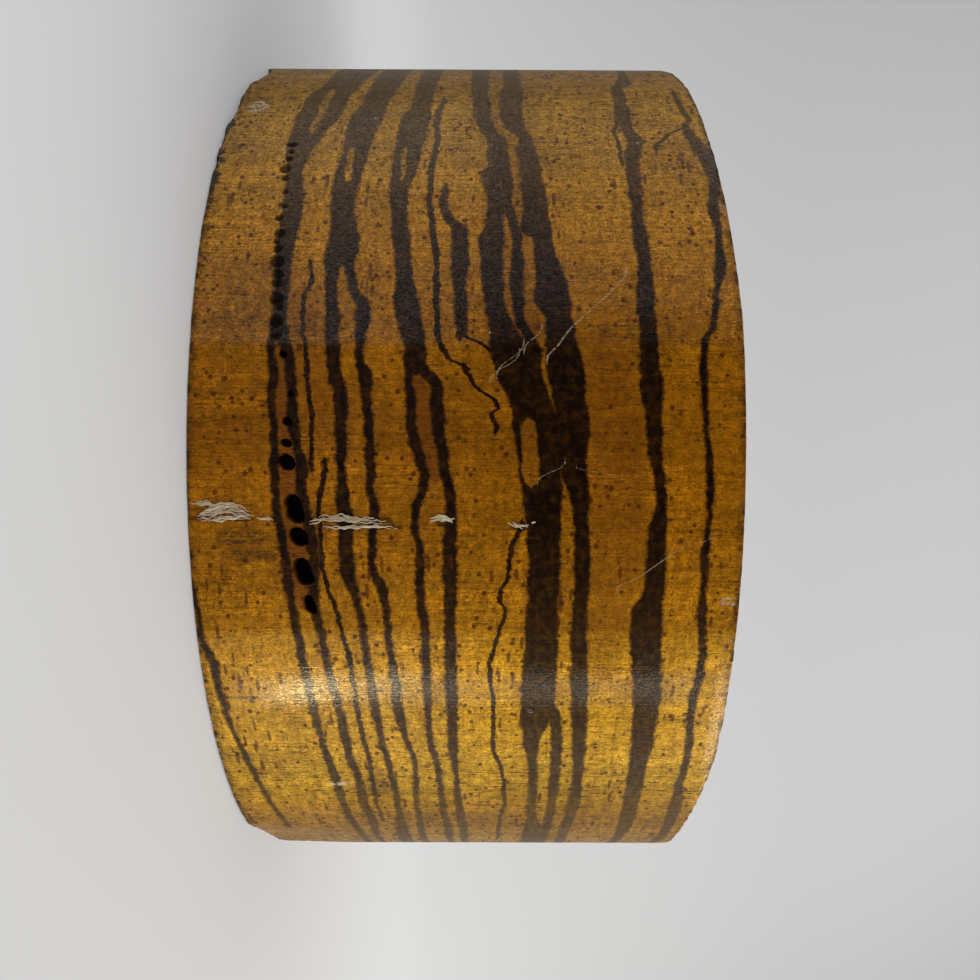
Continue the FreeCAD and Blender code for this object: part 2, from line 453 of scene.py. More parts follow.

# %% [markdown]
# Curls of wax
#
# Where the blade left its scores it scraped up the wax into small white curls. A painted white
# patch would have no edge and no shadow. So each curl is a bundle of fine strands that follow one
# read-off path, a little apart, and wood shows between them. A strand is a row of tiny square
# rings, bridged one to the next. The strands may stand up from the rim because it is round: at nine
# degrees from the front it lies half a millimetre inside the box.

# %% Lay the strands of wax
# How many strands, how widely they spread in degrees, and the path as rim angle and place across.
CURLS = (
    (4, 0.35, ((-7.5, -24.3), (-7.6, -22.9), (-7.9, -21.6), (-8.0, -20.9))),
    (11, 0.95, ((-8.7, -23.6), (-8.5, -22.6), (-8.1, -21.6), (-8.0, -20.6), (-8.5, -19.4),
               (-8.9, -18.4))),
    (5, 0.4, ((-9.3, -24.0), (-9.2, -22.0), (-9.0, -20.2), (-9.05, -18.4))),
    (2, 0.1, ((-9.0, -18.6), (-9.15, -16.9))),
    (7, 0.5, ((-9.4, -14.1), (-9.1, -12.6), (-9.0, -11.0), (-9.2, -9.2), (-9.35, -6.7))),
    (3, 0.2, ((-9.9, -14.0), (-9.95, -11.0), (-9.85, -8.0), (-10.0, -4.4))),
    (6, 0.6, ((-9.3, -3.3), (-8.9, -2.4), (-9.1, -1.6), (-9.3, -1.0))),
    (2, 0.12, ((-9.6, 3.4), (-9.8, 5.9))),
    (1, 0.1, ((-9.3, 4.0), (-10.3, 5.2))),
    (1, 0.1, ((-9.5, 5.6), (-9.2, 6.2))),
)
STRAND_STEPS = 26
STRAND_LIFT = 0.3
THIN, THICK = 0.03, 0.07
FLATNESS = 1.5
SIDE_WAVE, SIDE_RATE = 0.28, 1.7
RISE_MEAN, RISE_RATE = 0.4, 1.1
TIP_SHARE = 0.04
dice = random.Random(9)


def along_path(path, share):
    """The rim angle and the place across at a share of a path's length."""
    at = share * (len(path) - 1)
    leg = min(int(at), len(path) - 2)
    start, end = path[leg], path[leg + 1]
    return [first + (last - first) * (at - leg) for first, last in zip(start, end)]


def ring_edges(ring):
    """The edges between the points of a ring that isn't bridged yet."""
    return {edge for point in ring for edge in point.link_edges}


def strand(shape, path, aside):
    """One wavy strand of four sides, thin at both ends."""
    first, last = dice.uniform(0.0, 0.35), dice.uniform(0.7, 1.0)
    thick, lift = dice.uniform(THIN, THICK), dice.uniform(0.2, 1.0) * STRAND_LIFT
    seed = dice.uniform(0, 50)
    rings = []
    for step in range(STRAND_STEPS + 1):
        run = step / STRAND_STEPS
        angle, at = along_path(path, first + (last - first) * run)
        wave = noise.noise(Vector((seed, at * SIDE_RATE, 0.0)))
        angle += aside + SIDE_WAVE * wave
        swell = math.sin(math.pi * min(max(run, TIP_SHARE), 1 - TIP_SHARE)) ** 0.5
        rise = RISE_MEAN + noise.noise(Vector((0.0, seed, at * RISE_RATE)))
        height = lift * max(0.0, rise)
        middle = rim_point(angle, at, height)
        outwards = rim_point(angle, at, height + thick * swell) - middle
        sideways = outwards.cross(Vector((0, 0, FLATNESS)))
        turned = Matrix((outwards, sideways, outwards.cross(sideways).normalized())).transposed()
        tip = step in (0, STRAND_STEPS)
        ring = bmesh.ops.create_circle(
            shape, cap_ends=tip, segments=4, radius=1.0,
            matrix=Matrix.Translation(middle) @ turned.to_4x4(),
        )
        rings.append(ring_edges(ring["verts"]))
    for one, two in zip(rings, rings[1:]):
        bmesh.ops.bridge_loops(shape, edges=list(one | two))


strands = bmesh.new()
for count, spread, path in CURLS:
    for number in range(count):
        strand(strands, path, spread * ((number + 0.5) / count - 0.5 + dice.uniform(-0.1, 0.1)))
bmesh.ops.recalc_face_normals(strands, faces=strands.faces)
bmesh.ops.scale(strands, vec=(MM, MM, MM), verts=strands.verts)
wax_mesh = bpy.data.meshes.new("wax_curls")
strands.to_mesh(wax_mesh)
strands.free()
wax_mesh.shade_smooth()
curls = bpy.data.objects.new("wax_curls", wax_mesh)
bpy.context.scene.collection.objects.link(curls)
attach(curls, "root")
wax_mesh.calc_loop_triangles()
print(sum(curl[0] for curl in CURLS), "strands,", len(wax_mesh.loop_triangles), "triangles")

# %% [markdown]
# Wood that is streaked right through
#
# Paint on a surface would slide over a chip and stop at an edge. Real streaks are layers inside the
# plank, so the wood is a solid texture: its colour depends only on the place in the block. The
# layers lie over one another, like pages, and run back along the grain. The front of the rim shows
# them as bands, and each band has a short table of read-off points: a rim angle, and the band's
# two edges across the blank. A float curve turns a table into a smooth line, and behind the front
# the layers drift slowly, as layers in a tree do, so the back and the faces show them elsewhere.

# %% A bench for the wood's nodes
wood = bpy.data.materials.new("streaked_wood")
wood.use_nodes = True
tree = wood.node_tree
tree.nodes.clear()


def node(kind, **settings):
    """Adds a shader node of a kind, with its settings."""
    made = tree.nodes.new("ShaderNode" + kind)
    for name, value in settings.items():
        setattr(made, name, value)
    return made


def feed(socket, value):
    """Links a socket to another, or sets its constant."""
    if isinstance(value, bpy.types.NodeSocket):
        tree.links.new(value, socket)
    else:
        socket.default_value = value


def maths(operation, *values):
    """One step of arithmetic on sockets and numbers."""
    made = node("Math", operation=operation)
    for socket, value in zip(made.inputs, values):
        feed(socket, value)
    return made.outputs[0]


def fade(value, low, high, start=0.0, end=1.0):
    """Rises smoothly from start to end while value goes from low to high."""
    made = node("MapRange", interpolation_type="SMOOTHSTEP")
    for socket, number in zip(made.inputs, (value, low, high, start, end)):
        feed(socket, number)
    return made.outputs[0]


def largest(values):
    """The largest of several sockets."""
    most = values[0]
    for value in values[1:]:
        most = maths("MAXIMUM", most, value)
    return most


def product(*values):
    """Several sockets and numbers multiplied together."""
    made = values[0]
    for value in values[1:]:
        made = maths("MULTIPLY", made, value)
    return made


def mix(share, first, second):
    """A colour between two colours."""
    made = node("Mix", data_type="RGBA")
    feed(made.inputs[0], share)
    feed(made.inputs[6], first)
    feed(made.inputs[7], second)
    return made.outputs[2]


def lumps(place, sizes, detail=2.0, roughness=0.5):
    """Noise from 0 to 1 whose lumps have these sizes along x, y and z, in millimetres."""
    scaled = node("VectorMath", operation="DIVIDE")
    feed(scaled.inputs[0], place)
    feed(scaled.inputs[1], sizes)
    made = node("TexNoise")
    feed(made.inputs["Vector"], scaled.outputs[0])
    feed(made.inputs["Scale"], 1.0)
    feed(made.inputs["Detail"], detail)
    feed(made.inputs["Roughness"], roughness)
    return made.outputs["Fac"]


def swing(place, sizes, amount, detail=2.0):
    """The same noise, swinging either side of nothing by about amount."""
    return maths("MULTIPLY", maths("SUBTRACT", lumps(place, sizes, detail), 0.5), 2 * amount)


def attribute(name):
    """A mark that the carving left on the skin, as a socket."""
    return node("Attribute", attribute_name=name).outputs["Fac"]


print("the bench has helpers for arithmetic, fades, noise and marks")

# %% Where a point of the wood is
RIM_SKIN = (1.2, 0.7)
in_metres = node("TexCoord").outputs["Object"]
in_mm = node("VectorMath", operation="SCALE")
feed(in_mm.inputs[0], in_metres)
feed(in_mm.inputs["Scale"], 1 / MM)
place = in_mm.outputs[0]
parts = node("SeparateXYZ")
feed(parts.inputs[0], place)
x_mm, y_mm, z_mm = parts.outputs
across = maths("SUBTRACT", z_mm, MIDDLE)
reach = maths("SQRT", maths("ADD", product(x_mm, x_mm), product(y_mm, y_mm)))
front = maths("SQRT", maths("MAXIMUM", maths("SUBTRACT", RADIUS**2, product(x_mm, x_mm)), 0.0))
behind = maths("MAXIMUM", maths("ADD", y_mm, front), 0.0)
side_share = maths("ADD", maths("DIVIDE", x_mm, 2 * RADIUS), 0.5)
on_rim = fade(reach, RADIUS - RIM_SKIN[0], RADIUS - RIM_SKIN[1])
print("the wood reads its place in millimetres, and its depth behind the front of the rim")

# %% Layers that drift behind the front
DRIFT, DRIFT_SIZES = 3.4, (26.0, 52.0, 30.0)
DRIFT_START, DRIFT_FULL = 1.0, 34.0
WAVER, WAVER_SIZES = 0.26, (1.1, 14.0, 1.6)
FRAY, FRAY_SIZES = 0.2, (0.3, 4.0, 0.3)
drift = product(swing(place, DRIFT_SIZES, DRIFT, 1.0), fade(behind, DRIFT_START, DRIFT_FULL))
waver = swing(place, WAVER_SIZES, WAVER, 1.0)
fray = swing(place, FRAY_SIZES, FRAY, 1.0)
layer = maths("ADD", maths("ADD", across, drift), maths("ADD", waver, fray))
print("layers drift up to", DRIFT, "mm, waver", WAVER, "mm and fray", FRAY, "mm")

# %% [markdown]
# The tables of streaks
#
# Each row is a rim angle and the two edges of the band, read off at that angle. A thread is a thin
# streak of even width, so it has only its middle. Only in the names of these tables, left and right
# mean towards the lower and the upper face. The tables are plain numbers, and a later cell turns
# them into nodes.

# %% Streaks near the lower face
FLOOR_STREAK = (
    (-14.0, -25.2, -24.6), (-17, -24.4, -24.1), (-22, -24.1, -23.7), (-25, -23.6, -22.9),
    (-28, -23.3, -22.8), (-32, -22.9, -22.5), (-35, -22.4, -22.1), (-38, -22.1, -21.6),
    (-42, -21.5, -21.1), (-47, -21.0, -20.6), (-53, -20.4, -20.0), (-58, -20.0, -19.8),
)
DUCT_STREAK = (
    (70, -15.0, -10.4), (56, -15.5, -11.3), (50, -15.7, -12.0), (48, -16.1, -12.2),
    (45, -17.0, -12.8), (42, -17.2, -13.0), (40, -17.5, -13.3), (38, -17.6, -13.8),
    (36, -17.6, -14.4), (34, -17.8, -14.9), (33, -17.7, -15.5), (31, -17.5, -15.7),
    (29, -17.3, -15.9), (26, -17.2, -15.6), (24, -17.2, -15.4), (22, -17.3, -15.6),
    (18, -17.3, -15.9), (14, -17.2, -16.0), (10.5, -17.2, -16.0), (9, -17.3, -16.6),
)
DUCT_STREAK_LEFT = (
    (10, -17.4, -16.8), (8, -17.5, -17.0), (5, -17.4, -16.6), (3, -17.4, -16.7),
    (0, -17.1, -16.5), (-4, -17.1, -16.4), (-8, -16.9, -16.3), (-10, -16.7, -16.0),
    (-12, -16.4, -15.8), (-14, -16.3, -15.5), (-18, -16.0, -15.3), (-20, -15.8, -15.1),
    (-24, -15.4, -14.8), (-27, -15.2, -14.5), (-31, -14.8, -14.1), (-35, -14.4, -13.9),
    (-38, -14.1, -13.5), (-42, -13.8, -13.0), (-48, -13.4, -12.8), (-53, -13.1, -12.5),
    (-60, -12.6, -12.0),
)
DUCT_STREAK_RIGHT = (
    (10.5, -16.8, -16.0), (9, -16.8, -15.7), (6.5, -16.0, -15.2), (5, -15.9, -15.0),
    (3, -15.6, -14.9), (0, -15.6, -14.6), (-2, -15.1, -14.5), (-4, -14.9, -13.8),
    (-6, -14.9, -14.0), (-8, -14.6, -13.7), (-10, -14.3, -13.4), (-14, -13.9, -13.0),
    (-16, -14.0, -13.3), (-18, -13.9, -13.2), (-20, -13.7, -13.0), (-22, -13.3, -12.8),
    (-26, -13.0, -12.4), (-31, -12.4, -11.7), (-35, -12.2, -11.4), (-38, -12.0, -11.3),
    (-42, -11.4, -10.8), (-48, -11.4, -10.5), (-54, -10.9, -10.1), (-60, -10.9, -10.3),
)

# %% Streaks of the middle
SECOND_STREAK = (
    (70, -10.0, -7.0), (53, -10.5, -7.5), (47, -10.8, -8.2), (43, -11.2, -8.6),
    (39, -12.0, -9.0), (35, -12.3, -9.6), (31, -12.4, -10.0), (28, -12.8, -10.4),
    (24, -12.8, -10.7), (20, -12.6, -10.1), (18, -12.9, -10.1), (17, -12.9, -11.4),
    (15, -12.7, -11.7), (11, -12.5, -11.4), (8, -12.4, -11.2), (5, -12.1, -11.0),
    (3, -11.6, -10.4), (0, -11.4, -10.5), (-3, -11.4, -10.5), (-4, -11.2, -10.6),
    (-7, -11.4, -10.3), (-10, -11.2, -10.0), (-14, -11.2, -10.0), (-16, -10.6, -9.8),
    (-18, -10.0, -9.4), (-22, -9.6, -9.1), (-27, -9.3, -8.6), (-31, -9.0, -8.3),
    (-35, -8.6, -8.1), (-40, -8.0, -7.5), (-48, -7.7, -7.2), (-55, -8.0, -7.0),
    (-62, -8.2, -6.9),
)
SECOND_BRANCH = (
    (18, -11.6, -10.1), (16, -11.0, -10.3), (14, -10.5, -9.7), (12, -9.9, -8.7),
    (9, -9.8, -9.0), (7, -9.8, -9.2), (5, -9.4, -8.3), (3, -9.2, -8.4),
    (0, -8.9, -8.2), (-4, -8.7, -8.0), (-6, -8.7, -8.1), (-8, -8.4, -7.7),
    (-11, -8.6, -8.0), (-14, -8.6, -8.0), (-16, -8.1, -7.2), (-18, -7.6, -7.0),
    (-22, -7.3, -6.8), (-27, -7.0, -6.3), (-31, -6.9, -6.1), (-35, -6.2, -5.7),
    (-40, -5.4, -5.0), (-48, -5.6, -5.2), (-56, -5.7, -5.1),
)
THIRD_STREAK = (
    (70, -5.5, -3.5), (50, -5.8, -3.8), (43, -6.0, -4.2), (39, -6.9, -4.1),
    (35, -7.2, -4.6), (31, -7.3, -4.9), (28, -7.3, -5.4), (26, -7.3, -5.8),
    (24, -7.1, -5.7), (20, -6.8, -5.4), (16, -6.4, -5.0), (12, -6.4, -4.3),
    (10, -5.9, -4.0), (8, -5.5, -3.8), (6, -5.4, -3.6),
)
THIRD_LEFT = (
    (7, -5.5, -4.6), (5, -5.4, -4.9), (3, -5.3, -4.6), (0, -5.2, -4.4),
    (-2, -4.9, -4.0), (-4, -4.2, -3.4), (-6, -4.1, -3.4), (-8, -4.8, -4.1),
    (-10, -4.8, -4.3), (-12, -4.4, -3.8), (-16, -4.5, -3.8), (-20, -4.2, -3.5),
    (-28, -4.0, -3.4), (-35, -3.9, -3.4), (-40, -3.2, -2.7), (-48, -3.0, -2.5),
    (-60, -2.6, -2.0),
)
THIRD_RIGHT = (
    (7, -4.6, -3.7), (6, -4.4, -3.4), (5, -3.9, -2.6), (4, -3.2, -2.2),
    (2, -3.2, -2.1), (0, -2.9, -1.9), (-3, -2.5, -1.6), (-5, -2.2, -1.3),
    (-7, -1.8, -1.0), (-12, -2.0, -0.9), (-20, -2.0, -1.0), (-31, -1.9, -1.0),
    (-37, -1.8, -1.0), (-42, -1.35, -1.0), (-50, -1.4, -0.6), (-60, -1.0, -0.3),
)
BRAID = (
    (27, -2.4, -1.9), (25, -2.6, -2.0), (22, -2.0, -0.9), (21, -1.5, 0.0),
    (17, -1.5, 0.0), (14, -1.2, -0.2), (12, -1.1, 0.0), (9, -0.9, -0.3),
)

# %% Streaks of the dark heart and near the upper face
HEART_LEFT = (
    (70, 0.0, 1.6), (50, 0.0, 1.8), (45, 0.2, 1.7), (41, 0.3, 2.0),
    (39, 0.5, 2.0), (37, 1.0, 2.5), (35, 1.7, 3.4), (33, 1.8, 3.6),
    (31, 1.8, 3.8), (28, 1.2, 2.8), (25, 1.9, 3.3), (23, 1.7, 3.1),
    (21, 1.4, 3.1), (20, 1.0, 3.2), (18, 1.2, 3.0), (15, 1.3, 3.1),
    (13, 1.5, 3.2), (11, 1.8, 3.8), (9, 2.0, 4.8), (8, 2.0, 6.5),
)
HEART_MIDDLE = (
    (30, 3.0, 3.8), (28, 3.0, 4.1), (25, 3.2, 3.9), (22, 3.7, 4.5),
    (20, 4.0, 4.8), (18, 4.0, 5.0), (15, 3.8, 4.9), (13, 4.0, 5.0),
    (11, 4.2, 5.0), (9, 5.0, 6.0), (8, 5.2, 6.4),
)
HEART_RIGHT = (
    (70, 3.6, 5.2), (50, 3.5, 5.3), (45, 3.0, 5.3), (41, 3.0, 5.2),
    (39, 3.2, 5.2), (37, 3.6, 5.5), (35, 4.9, 6.0), (33, 4.5, 6.4),
    (31, 4.8, 6.7), (28, 4.9, 6.9), (25, 5.0, 7.2), (23, 5.0, 7.3),
    (21, 4.8, 7.7), (20, 6.0, 7.6), (18, 6.0, 8.0), (15, 6.2, 8.8),
    (13, 6.0, 9.1), (11, 6.9, 9.2), (9, 7.0, 9.5), (8, 7.0, 9.7),
    (6, 7.0, 10.2), (3, 7.5, 10.4), (0, 8.0, 10.7), (-3, 8.2, 10.4),
    (-5, 8.5, 10.6), (-8, 9.3, 10.7), (-10, 9.5, 10.7), (-14, 9.6, 10.9),
    (-20, 9.5, 10.8), (-25, 9.6, 11.0), (-31, 9.9, 11.3), (-36, 10.2, 11.4),
    (-44, 10.6, 11.5), (-50, 10.3, 11.4), (-60, 10.0, 11.0),
)
HEART_LOWER = (
    (8.5, 2.0, 6.0), (8, 2.0, 6.5), (6, 2.4, 6.4), (4, 3.0, 6.8),
    (2.5, 3.8, 7.4), (0, 4.1, 8.2), (-4, 4.6, 8.3), (-8, 5.1, 8.3),
    (-14, 5.5, 8.2), (-20, 5.4, 8.2), (-25, 5.2, 8.2), (-31, 5.1, 8.0),
    (-34, 5.3, 7.2), (-36, 5.5, 6.8), (-40, 6.1, 6.9), (-50, 6.2, 7.0),
    (-60, 6.0, 8.2),
)
HEART_STRAND = (
    (-29, 7.3, 8.2), (-32, 7.9, 8.8), (-42, 8.2, 9.2), (-50, 8.2, 9.0),
    (-60, 8.0, 8.8),
)
FOURTH_STREAK = (
    (70, 16.8, 17.6), (54, 16.3, 17.3), (50, 15.5, 17.2), (48, 14.9, 16.1),
    (44, 14.9, 16.1), (40, 14.9, 16.1), (37, 15.0, 16.2), (35, 15.5, 16.9),
    (33, 15.2, 16.6), (30, 15.0, 16.2), (24, 15.1, 16.1), (20, 15.2, 16.4),
    (17, 15.4, 16.5), (14, 15.2, 16.6), (9, 15.3, 16.7), (5, 15.2, 17.0),
    (1, 15.6, 17.0), (-3, 16.0, 17.0), (-7, 16.6, 17.4), (-9, 16.4, 17.5),
    (-10, 15.9, 17.5), (-15, 16.0, 17.6), (-17, 15.6, 17.6), (-18, 15.0, 17.5),
    (-20, 14.8, 17.6), (-23, 15.0, 17.7), (-28, 15.5, 18.0), (-35, 15.9, 17.9),
    (-40, 16.0, 17.7), (-48, 16.2, 17.7), (-56, 16.4, 17.7), (-62, 16.5, 17.5),
)
FIFTH_STREAK = (
    (47, 21.3, 21.7), (41, 21.5, 22.0), (39.5, 21.8, 22.3), (38, 21.2, 21.8),
    (31, 22.3, 23.9), (28, 22.8, 23.6), (24, 22.3, 23.2), (21, 22.6, 23.1),
    (17, 22.3, 23.2), (14, 22.0, 22.4), (11, 21.6, 22.1), (10, 21.5, 22.0),
    (9, 20.8, 21.3), (5, 20.5, 21.1), (2, 20.6, 21.0), (0, 20.7, 21.1),
    (-3, 20.9, 21.4), (-5, 21.0, 21.6), (-10, 21.1, 21.4), (-13, 20.7, 21.4),
    (-16, 20.9, 21.3), (-19, 20.8, 21.5), (-24, 21.2, 21.8), (-31, 20.8, 21.5),
    (-37, 21.2, 21.8), (-43, 21.1, 21.8), (-50, 21.2, 22.3), (-60, 21.4, 22.3),
)

# %% Threads, stains and pale gaps
THREADS = (
    (0.35, ((17, -14.3), (15, -14.0), (13.3, -14.6), (10, -14.5), (8, -14.2), (5, -14.0),
            (3, -13.8), (1, -13.5), (-2, -13.5), (-4, -13.5))),
    (0.38, ((-3.5, -12.4), (-5.5, -12.5), (-7, -12.8), (-8.5, -12.9), (-14, -12.7),
            (-15.5, -12.5), (-17, -12.2), (-18.5, -11.8), (-20, -11.4), (-21.5, -11.2),
            (-24, -10.8), (-33, -10.2), (-38, -9.8), (-48, -9.6), (-53, -9.4))),
    (0.5, ((44, -2.8), (42, -3.2), (40, -3.4), (35, -3.2), (31, -3.5), (27, -3.7),
           (24, -3.6), (21, -3.3), (18, -2.9), (15, -2.85), (11, -2.7), (9, -2.6),
           (8, -2.2), (7, -1.8), (6.4, -1.0), (5.9, 0.0))),
    (0.45, ((10, -0.6), (9, 0.0), (8.5, 1.0), (7.8, 1.9), (7.2, 2.4))),
    (0.4, ((5.9, -0.2), (4.8, 0.3), (3.8, 1.0), (3.0, 1.9), (2.3, 2.6), (1.9, 2.8),
           (1.3, 2.1), (0.5, 2.4), (-0.3, 2.6))),
    (0.36, ((-9.5, 4.9), (-10.5, 4.5), (-12, 4.0), (-13.5, 3.8), (-15, 3.8), (-16, 3.2),
            (-17.5, 3.0), (-18.5, 3.5), (-20, 3.2), (-21.5, 2.8), (-23, 2.4), (-25, 2.1),
            (-27, 2.1), (-29, 2.4), (-37, 2.5), (-40, 3.3), (-46, 3.7), (-48, 3.8),
            (-51, 3.3), (-62, 3.2))),
    (0.35, ((42, 14.8), (39, 14.7), (37, 14.3), (34, 14.5), (31, 14.6))),
    (0.4, ((38, 21.4), (36.5, 20.0), (35, 19.0), (33.5, 18.2))),
)
STAINS = (
    ((9, -17.0, -16.0), (6, -16.9, -15.8), (3, -16.6, -15.5), (0, -16.4, -15.4),
     (-4, -16.3, -14.8), (-8, -16.2, -14.5), (-12, -15.7, -13.8), (-18, -15.2, -13.8)),
    ((6, -4.9, -4.1), (3, -4.6, -3.2), (0, -4.4, -2.9), (-3, -4.0, -2.5), (-5, -3.4, -2.1)),
)
GLOOM = (
    ((9, 10.6, 13.6), (4, 10.8, 14.6), (0, 11.0, 15.0), (-6, 11.0, 15.4), (-12, 11.0, 15.4),
     (-17, 11.2, 14.8), (-26, 11.4, 13.6)),
    ((14, -15.6, -14.2), (8, -15.2, -13.0), (0, -14.6, -12.4)),
    ((40, 1.4, 4.0), (33, 2.6, 5.2), (27, 2.2, 5.4), (20, 2.4, 6.4), (13, 2.4, 6.6),
     (9, 4.4, 7.2)),
)
SCRATCHES = (
    (0.08, ((-10.6, 21.9), (-11.6, 19.4), (-13.6, 16.9), (-15.2, 15.0), (-16.2, 13.4))),
    (0.14, ((16.3, 14.2), (14.5, 13.2), (12, 11), (9.8, 9), (8.2, 8.0), (6.6, 7.0))),
    (0.08, ((7.6, 4.6), (4.4, 2.0))),
    (0.08, ((8.6, 5.0), (5.0, 2.6))),
    (0.08, ((10.2, 6.6), (7.6, 5.0))),
    (0.08, ((-3.4, 8.6), (-5.4, 6.2))),
    (0.06, ((-4.0, 9.6), (-4.9, 13.6))),
)
GAPS = (
    ((47, -15.0, -14.4), (44, -15.4, -14.6), (40, -15.6, -14.8), (36.5, -16.0, -15.4)),
    ((33, -11.7, -11.2), (31, -11.8, -11.1), (28, -11.8, -11.3)),
    ((33, -6.5, -6.1), (31, -6.6, -6.1), (28, -6.4, -6.2)),
    ((0.5, 4.9, 5.9), (-1, 4.8, 6.2), (-3.5, 4.8, 6.3), (-5.5, 5.2, 6.2)),
)

# %% [markdown]
# From tables to bands
#
# A picture of the streaks would be simple, but it would be stretched over the sides. A band made of
# arithmetic has no such trouble. Two float curves give its middle and its half width at each place
# along the rim. A point lies inside the band where its distance from the middle is less than the
# half width. A half width below zero closes a band at its end, so that it runs out to a tip.

# %% Turn the tables into bands
CURVE_SPAN = 2 * MIDDLE + 4
WIDEST = 5.0
NARROWEST = -1.0
TIP_HALF = 0.4 * NARROWEST
TAIL = 0.012
FADE_OUTSIDE, FADE_INSIDE = 1.3, 0.8
EDGE, THREAD_EDGE, SCRATCH_EDGE = 0.3, 0.14, 0.06
GAP_EDGE, STAIN_EDGE, GLOOM_EDGE = 0.2, 0.3, 0.9
GAP_SHARE = 0.75


def share_of(angle):
    """Where a rim angle lies between the -X side, 0, and the +X side, 1."""
    return (1 - math.sin(math.radians(angle))) / 2


def curve(points):
    """A float curve over the blank's width, through points given as (share, height)."""
    made = node("FloatCurve")
    line = made.mapping.curves[0]
    line.points[0].location = points[0]
    line.points[1].location = points[-1]
    for share, height in points[1:-1]:
        line.points.new(share, height)
    for point in line.points:
        point.handle_type = "AUTO_CLAMPED"
    made.mapping.update()
    feed(made.inputs["Value"], side_share)
    return made.outputs["Value"]


def curve_place(at):
    """A place across the blank in the units of the curves, with its sign turned."""
    return maths("MULTIPLY_ADD", at, -1 / WIDEST, -CURVE_SPAN / 2 / WIDEST)


layer_place, fixed_place = curve_place(layer), curve_place(across)


def band(rows, softness, open_start=False, open_end=False, at=layer_place):
    """How far the wood lies inside a band: 0 outside it and 1 inside."""
    middles, halves = [], []
    for angle, left, right in sorted(rows, reverse=True):
        share = share_of(angle)
        middles.append((share, (left + right) / 2 / CURVE_SPAN + 0.5))
        halves.append((share, ((right - left) / 2 - NARROWEST) / WIDEST))
    tip = (TIP_HALF - NARROWEST) / WIDEST
    if not open_start:
        halves.insert(0, (max(halves[0][0] - TAIL, 0.001), tip))
    if not open_end:
        halves.append((min(halves[-1][0] + TAIL, 0.999), tip))
    for line in (middles, halves):
        line.insert(0, (0.0, line[0][1]))
        line.append((1.0, line[-1][1]))
    off = maths("ABSOLUTE", maths("MULTIPLY_ADD", curve(middles), CURVE_SPAN / WIDEST, at))
    inside = maths("SUBTRACT", curve(halves), off)
    low = (-FADE_OUTSIDE * softness - NARROWEST) / WIDEST
    high = (FADE_INSIDE * softness - NARROWEST) / WIDEST
    return fade(inside, low, high)


def thread(width, points, softness=THREAD_EDGE, at=layer_place):
    """A thin streak of even width."""
    rows = [(angle, middle - width / 2, middle + width / 2) for angle, middle in points]
    return band(rows, softness, at=at)


dark_bands = [
    band(FLOOR_STREAK, EDGE), band(DUCT_STREAK, EDGE, open_start=True),
    band(DUCT_STREAK_LEFT, EDGE, open_end=True), band(DUCT_STREAK_RIGHT, EDGE, open_end=True),
    band(SECOND_STREAK, EDGE, True, True), band(SECOND_BRANCH, EDGE, open_end=True),
    band(THIRD_STREAK, EDGE, open_start=True), band(THIRD_LEFT, EDGE, open_end=True),
    band(THIRD_RIGHT, EDGE, open_end=True), band(BRAID, EDGE),
    band(HEART_LEFT, EDGE, open_start=True), band(HEART_MIDDLE, EDGE),
    band(HEART_RIGHT, EDGE, True, True), band(HEART_LOWER, EDGE, open_end=True),
    band(HEART_STRAND, EDGE, open_end=True), band(FOURTH_STREAK, EDGE, True, True),
    band(FIFTH_STREAK, EDGE, open_end=True),
]
dark_bands += [thread(*table) for table in THREADS]
pale_gaps = largest([band(rows, GAP_EDGE) for rows in GAPS])
stains = largest([band(rows, STAIN_EDGE) for rows in STAINS])
gloom = largest([band(rows, GLOOM_EDGE) for rows in GLOOM])
scratches = largest([thread(*scratch, SCRATCH_EDGE, at=fixed_place) for scratch in SCRATCHES])
streaks = product(largest(dark_bands), maths("MULTIPLY_ADD", pale_gaps, -GAP_SHARE, 1.0))
print(len(dark_bands), "dark bands,", len(STAINS), "stains and", len(GAPS), "pale gaps")

# %% [markdown]
# Figure on the two faces
#
# The faces are sawn along the layers, so they cut them at a shallow slant. That draws wide flames
# and islands instead of stripes. Slow noise, stretched along the grain, stands for those layers.
# It fades out towards the photographed front of the rim, where the tables say what is there.

# %% Flames on the faces
LAYER_SLANT, LAYER_SWING, LAYER_RATE = 0.11, 1.6, 7.5
FLAME_SIZES, FLAME_WIDTH_SIZES = (11.0, 90.0, 12.0), (20.0, 60.0, 20.0)
FLAME_EDGE = 0.08
FACE_SKIN = (3.0, 1.2)
FLAMES_START, FLAMES_FULL = 3.0, 16.0
slow_layers = swing(place, FLAME_SIZES, LAYER_SWING, 2.0)
flame_field = maths("MULTIPLY_ADD", across, LAYER_SLANT, slow_layers)
flame_wave = maths("SINE", maths("MULTIPLY", flame_field, LAYER_RATE))
flame_width = maths("MULTIPLY_ADD", lumps(place, FLAME_WIDTH_SIZES), 0.9, 0.1)
near_face = fade(maths("ABSOLUTE", across), MIDDLE - FACE_SKIN[0], MIDDLE - FACE_SKIN[1])
inner = fade(behind, FLAMES_START, FLAMES_FULL)
flame_shape = fade(flame_wave, maths("ADD", flame_width, -FLAME_EDGE), flame_width)
flames = product(flame_shape, near_face, inner)
dark = maths("MAXIMUM", streaks, flames)
print("flames begin", FLAMES_START, "mm behind the front of the rim")
